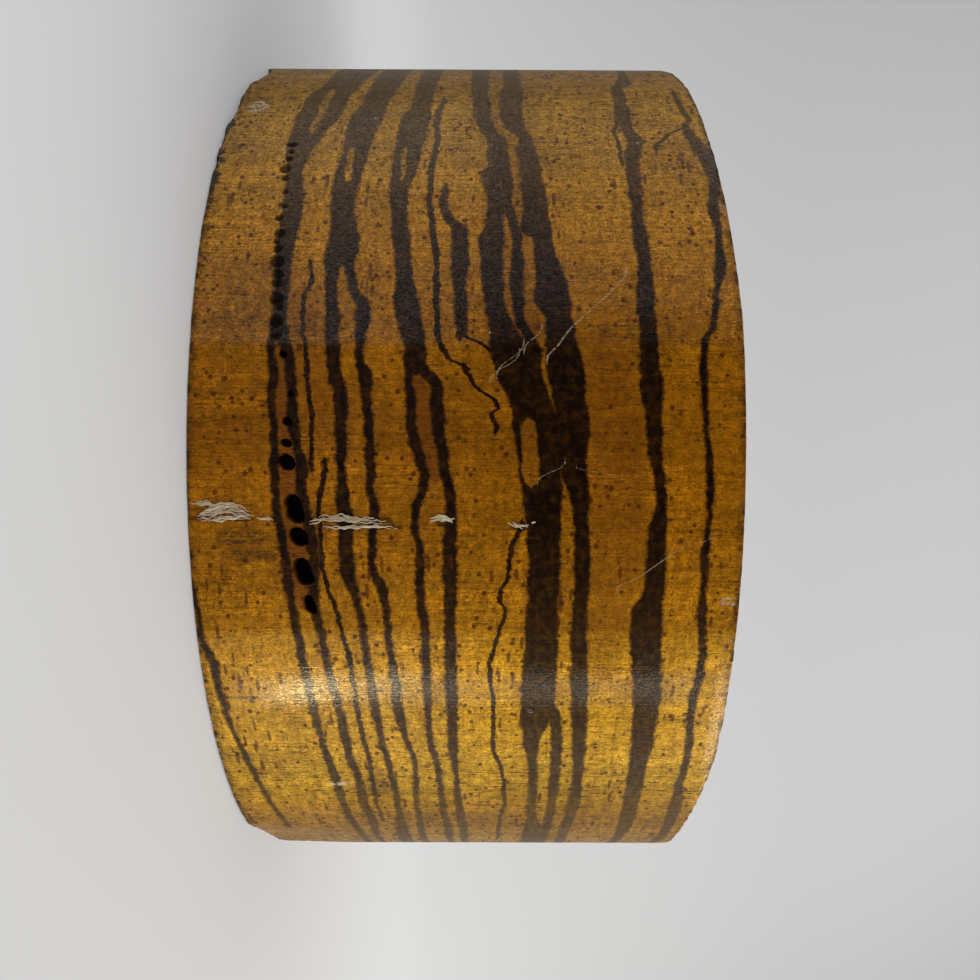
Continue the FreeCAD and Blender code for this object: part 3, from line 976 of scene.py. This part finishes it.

# %% [markdown]
# Colour
#
# End grain drinks light: the tubes of the wood point at the eye, so it looks deep amber, while the
# same wood cut along its grain is lighter and yellower. How squarely the rim cuts the grain is the
# cosine of the rim angle, which is the point's y over its distance from the axis. A colour ramp
# turns that into the wood's ground colour, which is also darker round sixty degrees from the front
# than at thirty. On the right front a zone is tinted paler and more golden: partly the wood's own
# colour, partly painted light falling on that side of the rim. Several noises then make it uneven:
# broad clouds, bands across the rim, long fibres and fine speckles.

# %% Mix the colour
LONG_GRAIN = (0.42, 0.25, 0.06, 1.0)
RIM_COLOURS = (
    (0.0, (0.34, 0.21, 0.06, 1.0)), (0.5, (0.26, 0.145, 0.02, 1.0)),
    (0.64, (0.34, 0.17, 0.016, 1.0)), (0.76, (0.45, 0.225, 0.014, 1.0)),
    (0.87, (0.52, 0.242, 0.012, 1.0)), (0.94, (0.53, 0.222, 0.006, 1.0)),
    (0.985, (0.40, 0.15, 0.002, 1.0)), (1.0, (0.38, 0.135, 0.002, 1.0)),
)
# Tint and rim angles of the right front zone: partly paler wood, partly painted light.
GOLDEN_LIGHT_TINT = (1.4, 1.55, 1.25)
GOLDEN_LIGHT_START, GOLDEN_LIGHT_END = (-20.4, -22.0), (-53.0, -43.0)
RED_BROWN = (0.17, 0.045, 0.004, 1.0)
STREAK_BROWN = (0.009, 0.0027, 0.0007, 1.0)
STREAK_OLIVE = (0.07, 0.034, 0.006, 1.0)
STREAK_EDGE = (0.1, 0.032, 0.003, 1.0)
STREAK_SMOKE = (0.1, 0.062, 0.022, 1.0)
PORE_BROWN = (0.09, 0.022, 0.003, 1.0)
TEAR_BROWN = (0.035, 0.02, 0.009, 1.0)
GUM_BLACK = (0.002, 0.0015, 0.001, 1.0)
SCRATCH_TAN = (0.5, 0.36, 0.2, 1.0)
SMUDGE_PALE = (0.6, 0.54, 0.4, 1.0)
CLOUD_SIZES, SAW_BAND_SIZES = (7.0, 30.0, 4.0), (2.6, 2.6, 70.0)
FIBRE_SIZES, SPECKLE_SIZES, MOTTLE_SIZES = (2.0, 14.0, 0.4), (0.2, 3.0, 0.2), (0.7, 8.0, 0.7)
STAIN_SHARE, GLOOM_SHARE = 0.75, 0.4
# Most of a noise lies between these two values.
NOISE_RANGE = (0.3, 0.7)
CLOUD_SHADES, SAW_BAND_SHADES = (1.1, 0.84), (1.12, 0.86)
# Noise from, noise to, and the share of red-brown or the shade at each.
FIBRE_RED, SPECKLE_RED = (0.45, 0.75, 0.0, 0.3), (0.5, 0.7, 0.0, 0.75)
SPECKLE_SHADES, MOTTLE_SHADES = (0.5, 0.25, 1.0, 1.5), (0.25, 0.75, 1.22, 0.78)


def ramp(value, stops):
    """A colour that follows a value through stops of place and colour."""
    made = node("ValToRGB")
    line = made.color_ramp
    line.elements[0].position, line.elements[0].color = stops[0]
    line.elements[1].position, line.elements[1].color = stops[-1]
    for at, colour in stops[1:-1]:
        line.elements.new(at).color = colour
    feed(made.inputs["Fac"], value)
    return made.outputs["Color"]


def shade(colour, amount):
    """A colour made lighter or darker by an amount, 1 being no change."""
    made = node("VectorMath", operation="SCALE")
    feed(made.inputs[0], colour)
    feed(made.inputs["Scale"], amount)
    return made.outputs[0]


rim_turn = maths("ARCTAN2", maths("MULTIPLY", x_mm, -1.0), maths("MULTIPLY", y_mm, -1.0))
rim_angle = maths("MULTIPLY", rim_turn, 180 / math.pi)
squareness = maths("ABSOLUTE", maths("DIVIDE", y_mm, maths("MAXIMUM", reach, 1.0)))
amber = mix(on_rim, LONG_GRAIN, ramp(squareness, RIM_COLOURS))
cloud = fade(lumps(place, CLOUD_SIZES), *NOISE_RANGE, *CLOUD_SHADES)
saw_bands = fade(lumps(place, SAW_BAND_SIZES), *NOISE_RANGE, *SAW_BAND_SHADES)
ground = shade(amber, maths("MULTIPLY", cloud, saw_bands))
fibre = lumps(place, FIBRE_SIZES, 1.0)
ground = mix(fade(fibre, *FIBRE_RED), ground, RED_BROWN)
speckle = lumps(place, SPECKLE_SIZES, roughness=0.75)
ground = mix(fade(speckle, *SPECKLE_RED), ground, RED_BROWN)
ground = shade(ground, fade(speckle, *SPECKLE_SHADES))
mottle = lumps(place, MOTTLE_SIZES, 1.0)
ground = shade(ground, fade(mottle, *MOTTLE_SHADES))
# The right front zone is tinted paler and more golden: partly the wood's colour, partly painted
# light.
golden = node("VectorMath", operation="MULTIPLY")
feed(golden.inputs[0], ground)
feed(golden.inputs[1], GOLDEN_LIGHT_TINT)
golden_light_zone = product(fade(rim_angle, *GOLDEN_LIGHT_START), fade(rim_angle, *GOLDEN_LIGHT_END), on_rim)
ground = mix(golden_light_zone, ground, golden.outputs[0])
ground = mix(product(stains, STAIN_SHARE), ground, RED_BROWN)
ground = mix(product(gloom, GLOOM_SHARE), ground, RED_BROWN)
print("the ground colour has", len(RIM_COLOURS), "stops round the rim")

# %% [markdown]
# Pores and streaks
#
# Pores are tubes too. A cell pattern stretched along the grain gives round dots at the front,
# dashes on the slant and fine grooves on the sides and faces, all from one pattern. Drawing each
# dot by hand would take hundreds of points. The streaks lie over the ground. Where the rim cuts the
# grain squarely they are nearly black, and on the slant they turn olive and let the ground show
# through.

# %% Open the pores
DOT_CELLS, DASH_CELLS = (1.0, 13.0, 1.0), (3.2, 12.0, 0.8)
CLUSTER_SIZES = (2.4, 30.0, 2.4)
SMALLEST_DOT, LARGEST_DOT, LARGEST_DASH = 0.12, 0.24, 0.26
LONG_DASH, LONG_DASH_PLACE = 0.2, (-15.0, -19.0)
LONG_DASH_START, LONG_DASH_END = (-10.0, -15.0), (-46.0, -36.0)
DOT_SHARE, DASH_SHARE = 0.85, 0.75
DOT_EDGE, DASH_EDGE, DASH_CLUSTERS = (-0.08, 0.06), (-0.06, 0.05), (0.46, 0.64)
# Degrees from the front between which the rim turns slanted, and between which the dashes begin.
SLANT_ANGLES, DASH_ANGLES = (8.0, 50.0), (9.0, 15.0)


def cells(sizes):
    """A cell pattern whose cells have these sizes: the distance to each cell's middle."""
    scaled = node("VectorMath", operation="DIVIDE")
    feed(scaled.inputs[0], place)
    feed(scaled.inputs[1], sizes)
    made = node("TexVoronoi")
    feed(made.inputs["Vector"], scaled.outputs[0])
    feed(made.inputs["Scale"], 1.0)
    return made.outputs["Distance"]


from_front = maths("ABSOLUTE", rim_angle)
slanted = maths("MAXIMUM", fade(from_front, *SLANT_ANGLES), maths("SUBTRACT", 1.0, on_rim))
clusters = lumps(place, CLUSTER_SIZES, 1.0)
dot_size = fade(clusters, *NOISE_RANGE, SMALLEST_DOT, LARGEST_DOT)
dots = fade(maths("SUBTRACT", dot_size, cells(DOT_CELLS)), *DOT_EDGE)
long_dashes = product(
    fade(across, *LONG_DASH_PLACE, 0.0, LONG_DASH),
    fade(rim_angle, *LONG_DASH_START),
    fade(rim_angle, *LONG_DASH_END),
)
dash_size = maths("MAXIMUM", fade(clusters, *DASH_CLUSTERS, 0.0, LARGEST_DASH), long_dashes)
slanting = product(fade(from_front, *DASH_ANGLES), on_rim)
dashes = fade(maths("SUBTRACT", dash_size, cells(DASH_CELLS)), *DASH_EDGE)
ground = mix(product(dots, DOT_SHARE), ground, PORE_BROWN)
print("dots", DOT_CELLS[0], "mm apart and dashes", DASH_CELLS[2], "mm apart")

# %% Lay the streaks over the ground
TONE_SIZES = (1.6, 20.0, 0.4)
HALO_SHARE, THIN_CORE = 0.55, 0.78
HALO_EDGE, CORE_EDGE = (0.0, 0.6), (0.2, 0.9)
VEIN_RANGE, FRONT_VEINS = (0.45, 0.75), 0.12
CORE_MOTTLE = (0.25, 0.65, 0.88, 1.0)
streak_tone = lumps(place, TONE_SIZES, 1.0)
streak_brown = mix(slanted, STREAK_BROWN, STREAK_OLIVE)
streak_rim = mix(slanted, STREAK_EDGE, STREAK_SMOKE)
veins = product(fade(streak_tone, *VEIN_RANGE), fade(slanted, 0.0, 1.0, FRONT_VEINS, 1.0))
streak_colour = mix(veins, streak_brown, streak_rim)
halo = fade(dark, *HALO_EDGE)
thin_core = maths("MAXIMUM", fade(slanted, 0.0, 1.0, 1.0, THIN_CORE), golden_light_zone)
core = product(fade(dark, *CORE_EDGE), thin_core, fade(mottle, *CORE_MOTTLE))
wood_colour = mix(product(halo, HALO_SHARE), ground, streak_rim)
wood_colour = mix(core, wood_colour, streak_colour)
wood_colour = mix(product(dashes, slanting, DASH_SHARE), wood_colour, PORE_BROWN)
print("streaks fade into the ground over a halo of", HALO_SHARE)

# %% [markdown]
# What the saw left
#
# Each tooth of the band saw draws a line across the rim, along the blank's axis. As meshes, these
# lines would take millions of faces. Here they are noise stretched along Z: long lines and short
# ones, each lighter and darker than the wood by up to a third. Where the teeth pulled at the
# fibres, short dark tears are left, and a few scratches show the pale wood underneath.

# %% Draw the saw's tooth lines
TOOTH_SIZES, SHORT_SIZES = (0.16, 0.16, 5.0), (0.12, 0.12, 0.45)
SAW_PATCH_SIZES, TEAR_SIZES = (3.0, 3.0, 9.0), (0.2, 0.2, 1.5)
TOOTH_SHADE, SHORT_SHADE = 0.3, 0.34
LINE_RANGE, FAINTEST_SAWING = (0.2, 0.8), 0.35
TEAR_RANGE, TEAR_SHARE = (0.67, 0.74), 0.8
MORE_TEARS_WHERE, MORE_TEARS = (0.4, 1.0), 0.09
SCRATCH_RANGE, FRONT_HALF = (0.3, 0.6), (0.0, -1.0)
tooth_lines = lumps(place, TOOTH_SIZES, 1.0, 0.6)
short_lines = lumps(place, SHORT_SIZES, 1.0)
saw_patches = fade(lumps(place, SAW_PATCH_SIZES, 1.0), *NOISE_RANGE, FAINTEST_SAWING, 1.0)
saw_strength = product(saw_patches, on_rim)
tooth_shade = fade(tooth_lines, *LINE_RANGE, -TOOTH_SHADE, TOOTH_SHADE)
short_shade = fade(short_lines, *LINE_RANGE, -SHORT_SHADE, SHORT_SHADE)
line_shade = maths("ADD", tooth_shade, short_shade)
wood_colour = shade(wood_colour, maths("MULTIPLY_ADD", line_shade, saw_strength, 1.0))
more_tears = fade(slanted, *MORE_TEARS_WHERE, 0.0, MORE_TEARS)
tear_field = maths("ADD", lumps(place, TEAR_SIZES), more_tears)
tears = product(fade(tear_field, *TEAR_RANGE), on_rim, TEAR_SHARE)
wood_colour = mix(tears, wood_colour, TEAR_BROWN)
scratched = product(scratches, fade(short_lines, *SCRATCH_RANGE), fade(y_mm, *FRONT_HALF))
wood_colour = mix(scratched, wood_colour, SCRATCH_TAN)
print(len(SCRATCHES), "scratches; tooth lines", TOOTH_SIZES[0], "mm apart")

# %% [markdown]
# Single marks and worn edges
#
# A few smudges, knocks and flecks of wax belong to this blank alone. A mark is an oval with a soft
# edge, broken up by noise so that it doesn't look stamped. The chips, the ducts, the beads and the
# two worn edges were marked on the skin while it was carved, and the wood reads those marks here.

# %% Set single marks
# Rim angle, place across, half size in degrees and half size in millimetres.
DARK_MARKS = (
    (1.8, -21.6, 0.3, 0.28), (19.7, 17.5, 0.3, 0.3), (48.2, -14.6, 0.25, 1.4),
    (39.5, 11.8, 0.3, 1.9), (-29.2, -20.0, 0.22, 3.0), (-48.5, 1.2, 0.25, 1.3),
    (-43.5, -9.0, 2.6, 1.5), (-11.0, -19.6, 1.2, 2.4), (-12.8, -19.2, 0.7, 2.6),
    (46.0, -24.2, 2.6, 0.9), (40.5, -24.3, 1.6, 0.6), (31.0, -24.4, 3.0, 0.3),
)
PALE_MARKS = (
    (-30.9, 6.0, 0.3, 0.3), (13.8, 5.0, 0.16, 0.14), (18.5, 9.6, 0.14, 0.13),
    (34.4, 16.4, 0.2, 0.16), (39.3, -9.5, 0.2, 0.2), (-43.4, -13.0, 0.35, 1.6),
    (-17.5, 23.6, 0.5, 0.9), (42.0, -21.8, 1.6, 1.1), (-34.0, 3.4, 0.12, 0.12),
    (9.5, 2.0, 0.12, 0.12),
)
MARK_OUTSIDE, MARK_INSIDE = 1.4, 0.5
PATCH_SIZES, PATCH_RANGE = (0.4, 0.4, 0.4), (0.42, 0.62)
BROKEN_RANGE = (0.85, 1.15)
DARK_SHARE, PALE_SHARE = 0.8, 0.85
rim_place = node("CombineXYZ")
feed(rim_place.inputs["X"], rim_angle)
feed(rim_place.inputs["Y"], across)


def marks(table):
    """Soft oval marks: each point's distance from a mark's middle, in the mark's own half sizes."""
    ovals = []
    for angle, at, half_angle, half_across in table:
        scaled = node("VectorMath", operation="MULTIPLY_ADD")
        feed(scaled.inputs[0], rim_place.outputs[0])
        feed(scaled.inputs[1], (1 / half_angle, 1 / half_across, 0.0))
        feed(scaled.inputs[2], (-angle / half_angle, -at / half_across, 0.0))
        squared = node("VectorMath", operation="DOT_PRODUCT")
        feed(squared.inputs[0], scaled.outputs[0])
        feed(squared.inputs[1], scaled.outputs[0])
        ovals.append(fade(squared.outputs["Value"], MARK_OUTSIDE, MARK_INSIDE))
    return largest(ovals)


broken_up = fade(maths("ADD", short_lines, tooth_lines), *BROKEN_RANGE)
patchy = fade(lumps(place, PATCH_SIZES), *PATCH_RANGE)
dark_marks = product(marks(DARK_MARKS), broken_up, on_rim, DARK_SHARE)
pale_marks = product(marks(PALE_MARKS), patchy, on_rim, PALE_SHARE)
wood_colour = mix(dark_marks, wood_colour, TEAR_BROWN)
wood_colour = mix(pale_marks, wood_colour, SMUDGE_PALE)
print(len(DARK_MARKS), "dark marks and", len(PALE_MARKS), "pale ones")

# %% Mark the edges and the gum
RAGGED_SIZES, RAGGED_SWING = (0.9, 0.9, 0.9), 1.5
RAGGED_OUTSIDE, RAGGED_INSIDE = 0.85, 0.3
FAR_OFF, NEAR_BY = 9.0, 0.6
# Rim angles between which the lower edge and the upper edge begin to be dark.
LOW_EDGE_ANGLES, HIGH_EDGE_ANGLES = (12.0, 30.0), (28.0, 40.0)
LINE_FADE = (-0.3, 0.1, 1.0, 0.45)
TORN_SHARE = 0.75
low_gap = maths("ADD", across, MIDDLE)
high_gap = maths("SUBTRACT", MIDDLE, across)
ragged = swing(place, RAGGED_SIZES, RAGGED_SWING)
high_share = fade(rim_angle, *HIGH_EDGE_ANGLES)
high_edge = maths("ADD", high_gap, fade(high_share, 0.0, 1.0, FAR_OFF, NEAR_BY))
edge_gap = maths("MINIMUM", low_gap, high_edge)
ragged_edge = fade(maths("ADD", edge_gap, ragged), RAGGED_OUTSIDE, RAGGED_INSIDE)
edge_dark = product(ragged_edge, fade(rim_angle, *LOW_EDGE_ANGLES), on_rim)
edge_line = product(attribute("arris"), fade(ragged, *LINE_FADE))
wood_colour = mix(maths("MAXIMUM", edge_line, edge_dark), wood_colour, TEAR_BROWN)
# Torn wood in chips and scores is dark brown; in the scores it is also painted shadow under the wax
# curls.
wood_colour = mix(product(attribute("torn"), TORN_SHARE), wood_colour, TEAR_BROWN)
wood_colour = mix(attribute("gum"), wood_colour, GUM_BLACK)
print("the wood reads the marks of gum, torn wood and worn edges")

# %% [markdown]
# Wax, tooth lines and gloss
#
# The blank was dipped in wax to keep it from cracking. The wax fills the pores, shines softly and
# shows the saw's tooth lines, which run across the rim. A coat layer over the wood does that: the
# light that bounces off the wax is white, while the light that reaches the wood comes back amber.
# The front of the rim is rubbed nearly bare, chips and gum carry no wax, and the film thins out
# towards both sides. The tooth lines are a bump, two hundredths of a millimetre high.

# %% Finish the wood
RUBBED_WAX = 0.12
RUBBED_LEFT, RUBBED_RIGHT = (7.8, 8.8), (-22.0, -20.4)
THIN_WAX, THIN_WAX_ANGLES = 0.1, (30.0, 48.0)
FILM_LINES, FILM_SPECKS = (0.5, 1.4), (0.35, 0.65, 1.35, 0.4)
BROKEN_WAX = (0.0, 0.2)
PEEL_SIZES = (0.2, 0.2, 0.2)
BUMP_HEIGHT, BUMP_STRENGTH = 0.016, 0.8
WOOD_ROUGHNESS, WOOD_SHINE = 0.55, 0.04
COAT_ROUGHNESS, COAT_IOR = 0.14, 1.4
orange_peel = lumps(place, PEEL_SIZES, 0.0)
saw_marks = product(maths("ADD", tooth_lines, short_lines), on_rim)
bump = node("Bump")
feed(bump.inputs["Height"], maths("ADD", saw_marks, orange_peel))
feed(bump.inputs["Distance"], BUMP_HEIGHT * MM)
feed(bump.inputs["Strength"], BUMP_STRENGTH)

left_film = fade(rim_angle, *RUBBED_LEFT, RUBBED_WAX, 1.0)
right_film = fade(rim_angle, *RUBBED_RIGHT, 1.0, RUBBED_WAX)
film_there = largest([left_film, right_film, maths("SUBTRACT", 1.0, on_rim)])
film_lines = fade(short_lines, *NOISE_RANGE, *FILM_LINES)
film_specks = fade(speckle, *FILM_SPECKS)
thin_film = fade(from_front, *THIN_WAX_ANGLES, 1.0, THIN_WAX)
wax_film = product(film_there, film_lines, film_specks, thin_film)
broken = fade(attribute("torn"), *BROKEN_WAX)
bare = maths("MAXIMUM", maths("MAXIMUM", attribute("gum"), broken), edge_line)
wax_film = product(wax_film, maths("SUBTRACT", 1.0, bare))

shader = node("BsdfPrincipled")
feed(shader.inputs["Base Color"], wood_colour)
feed(shader.inputs["Roughness"], WOOD_ROUGHNESS)
feed(shader.inputs["Specular IOR Level"], WOOD_SHINE)
feed(shader.inputs["Coat Weight"], wax_film)
feed(shader.inputs["Coat Roughness"], COAT_ROUGHNESS)
feed(shader.inputs["Coat IOR"], COAT_IOR)
feed(shader.inputs["Normal"], bump.outputs[0])
feed(shader.inputs["Coat Normal"], bump.outputs[0])
output = node("OutputMaterial")
feed(output.inputs["Surface"], shader.outputs[0])
blank.data.materials.append(wood)
print("streaked_wood:", len(tree.nodes), "nodes")

# %% [markdown]
# White wax
#
# The curls are the same wax, scraped thin and full of air, so they look white, with a little wood
# dust in them. One noise between two colours is enough, as the strands are about as fine as a hair
# and their shadows do the rest. This short material is linked by hand, to show what the bench does.

# %% Colour the wax
WAX_WHITE = (1.0, 0.94, 0.76, 1.0)
WAX_STAINED = (0.4, 0.2, 0.05, 1.0)
DUST_RATE = 1.4
WAX_ROUGHNESS = 0.3
wax = bpy.data.materials.new("scraped_wax")
wax.use_nodes = True
wax_tree = wax.node_tree
wax_shader = wax_tree.nodes["Principled BSDF"]
wax_place = wax_tree.nodes.new("ShaderNodeTexCoord")
wax_noise = wax_tree.nodes.new("ShaderNodeTexNoise")
wax_noise.inputs["Scale"].default_value = DUST_RATE / MM
wax_mix = wax_tree.nodes.new("ShaderNodeMix")
wax_mix.data_type = "RGBA"
wax_mix.inputs[6].default_value = WAX_STAINED
wax_mix.inputs[7].default_value = WAX_WHITE
wax_links = (
    (wax_place.outputs["Object"], wax_noise.inputs["Vector"]),
    (wax_noise.outputs["Fac"], wax_mix.inputs[0]),
    (wax_mix.outputs[2], wax_shader.inputs["Base Color"]),
)
for source, target in wax_links:
    wax_tree.links.new(source, target)
wax_shader.inputs["Roughness"].default_value = WAX_ROUGHNESS
curls.data.materials.append(wax)
print("scraped_wax:", len(wax_tree.nodes), "nodes")

# %% [markdown]
# The studio
#
# A pale floor curves up into a pale wall behind the blank, so no edge shows behind it. The floor
# starts as two points: the edge between them is spun into the cove, drawn up into the wall and then
# drawn out sideways. The paper glows a little, so that the light lies evenly on it.

# %% Floor and wall
FLOOR_HALF = 900.0
WALL_PLACE = 520.0
WALL_HEIGHT = 900.0
COVE = 260.0
COVE_STEPS = 24
PAPER_GREY = (0.36, 0.36, 0.36, 1.0)
PAPER_ROUGHNESS = 0.9
GLOW_COLOUR = (0.97, 0.98, 1.0, 1.0)
PAPER_GLOW = 0.26

sweep = bmesh.new()
start = sweep.verts.new((-FLOOR_HALF, -FLOOR_HALF, 0))
turn = sweep.verts.new((-FLOOR_HALF, WALL_PLACE - COVE, 0))
sweep.edges.new((start, turn))
bmesh.ops.spin(
    sweep, geom=[turn], cent=(0, WALL_PLACE - COVE, COVE), axis=(1, 0, 0), dvec=(0, 0, 0),
    angle=math.pi / 2, steps=COVE_STEPS, use_merge=False, use_duplicate=False,
)
sweep.verts.ensure_lookup_table()
top = max(sweep.verts, key=lambda point: (point.co.z, point.co.y))
print("the cove ends at", [round(value) for value in top.co])
wall = bmesh.ops.extrude_vert_indiv(sweep, verts=[top])["verts"]
bmesh.ops.translate(sweep, verts=wall, vec=(0, 0, WALL_HEIGHT - COVE))
wide = bmesh.ops.extrude_edge_only(sweep, edges=list(sweep.edges))["geom"]
moved = [part for part in wide if isinstance(part, bmesh.types.BMVert)]
bmesh.ops.translate(sweep, verts=moved, vec=(2 * FLOOR_HALF, 0, 0))
bmesh.ops.scale(sweep, vec=(MM, MM, MM), verts=sweep.verts)
bmesh.ops.recalc_face_normals(sweep, faces=sweep.faces)
sweep_mesh = bpy.data.meshes.new("studio_floor")
sweep.to_mesh(sweep_mesh)
sweep.free()
sweep_mesh.shade_smooth()
floor = bpy.data.objects.new("studio_floor", sweep_mesh)
bpy.context.scene.collection.objects.link(floor)
pale = bpy.data.materials.new("pale_paper")
pale.use_nodes = True
paper = pale.node_tree.nodes["Principled BSDF"]
paper.inputs["Base Color"].default_value = PAPER_GREY
paper.inputs["Emission Color"].default_value = GLOW_COLOUR
paper.inputs["Emission Strength"].default_value = PAPER_GLOW
paper.inputs["Roughness"].default_value = PAPER_ROUGHNESS
paper.inputs["Specular IOR Level"].default_value = 0.0
pale.cycles.emission_sampling = "NONE"
floor.data.materials.append(pale)
print("the floor glows with a strength of", PAPER_GLOW)

# %% [markdown]
# Lights
#
# Five soft lights stand round the blank: two wide ones to its left, which lay the grey sheen on the
# upper part of the photographed rim, two to its right, and one overhead for the floor and the
# faces. The bright golden stripe needs lights of its own. Three narrow strips stand close to the
# rim at its right front, where the wax mirrors them towards the camera. They don't light matte
# surfaces, so no hot spot falls on the floor. Behind the camera it stays dark, and there the wax
# has nothing to mirror, so the wood shows its own deep amber.

# %% Lights
# Name, rim angle, distance, height, width, length, how bright it looks, and colour.
SOFT_LIGHTS = (
    ("left_card", 78.0, 420.0, 140.0, 860.0, 300.0, 0.42, (0.95, 0.96, 1.0)),
    ("right_card", -100.0, 420.0, 120.0, 320.0, 240.0, 0.5, (1.0, 0.98, 0.94)),
    ("high_right", -88.0, 420.0, 380.0, 640.0, 480.0, 3.7, (1.0, 0.97, 0.92)),
    ("high_left", 60.0, 420.0, 420.0, 640.0, 480.0, 0.82, (0.95, 0.97, 1.0)),
    ("overhead", 180.0, 160.0, 620.0, 700.0, 700.0, 1.2, (1.0, 1.0, 1.0)),
)
STRIPS = (
    ("spark_strip", -34.1, 59.1, 8.0, 2.8, 5.6, 9.0, (1.0, 0.88, 0.5)),
    ("gold_strip", -34.1, 59.1, 11.2, 2.8, 16.4, 6.5, (1.0, 0.86, 0.48)),
    ("sheen_strip", -34.2, 59.1, 23.0, 4.4, 50.0, 1.8, (1.0, 0.94, 0.8)),
)
DARK_ROOM = (0.05, 0.05, 0.05, 1.0)


def soft_light(name, angle, distance, height, width, length, brightness, colour):
    """A rectangle of light, turned to the blank. A brightness of 1 looks white."""
    data = bpy.data.lights.new(name, "AREA")
    data.shape = "RECTANGLE"
    data.size = width * MM
    data.size_y = length * MM
    data.energy = brightness * math.pi * data.size * data.size_y
    data.color = colour
    light = bpy.data.objects.new(name, data)
    turn = math.radians(angle)
    light.location = Vector((-distance * math.sin(turn), -distance * math.cos(turn), height)) * MM
    aim = Vector((0, 0, MIDDLE * MM)) - light.location
    light.rotation_euler = aim.to_track_quat("-Z", "Y").to_euler()
    light.visible_camera = False
    bpy.context.scene.collection.objects.link(light)
    print(name, "at", angle, "degrees,", distance, "mm away")
    return light


for row in SOFT_LIGHTS:
    soft_light(*row)
for row in STRIPS:
    soft_light(*row).visible_diffuse = False
world = bpy.data.worlds.new("studio")
world.use_nodes = True
world.node_tree.nodes["Background"].inputs["Color"].default_value = DARK_ROOM
bpy.context.scene.world = world
bpy.context.scene.view_settings.view_transform = "Standard"

# %% [markdown]
# The camera
#
# The camera is level with the middle of the rim, about 79 mm in front of it, and lies on its side,
# as the blank was photographed standing on its rim and is stored lying flat. The lens is wide, so
# the near middle of the rim swells and its far edges draw in.

# %% Set the camera
CAMERA_PLACE = (7.65, -129.82, 26.28)
CAMERA_TARGET = (4.117, 0.0, 26.72)
CAMERA_ROLL = 90.216
LENS = 33.28
FILM_WIDTH = 36.0
NEAREST = 5.0

camera_data = bpy.data.cameras.new("camera")
camera_data.lens = LENS
camera_data.sensor_width = FILM_WIDTH
camera_data.clip_start = NEAREST * MM
camera = bpy.data.objects.new("camera", camera_data)
camera.location = Vector(CAMERA_PLACE) * MM
looking = Vector(CAMERA_TARGET) * MM - camera.location
camera.rotation_mode = "QUATERNION"
level = looking.to_track_quat("-Z", "Y")
camera.rotation_quaternion = level @ Quaternion((0, 0, 1), math.radians(CAMERA_ROLL))
bpy.context.scene.collection.objects.link(camera)
bpy.context.scene.camera = camera
print("camera", round(looking.length / MM), "mm from the blank's axis")
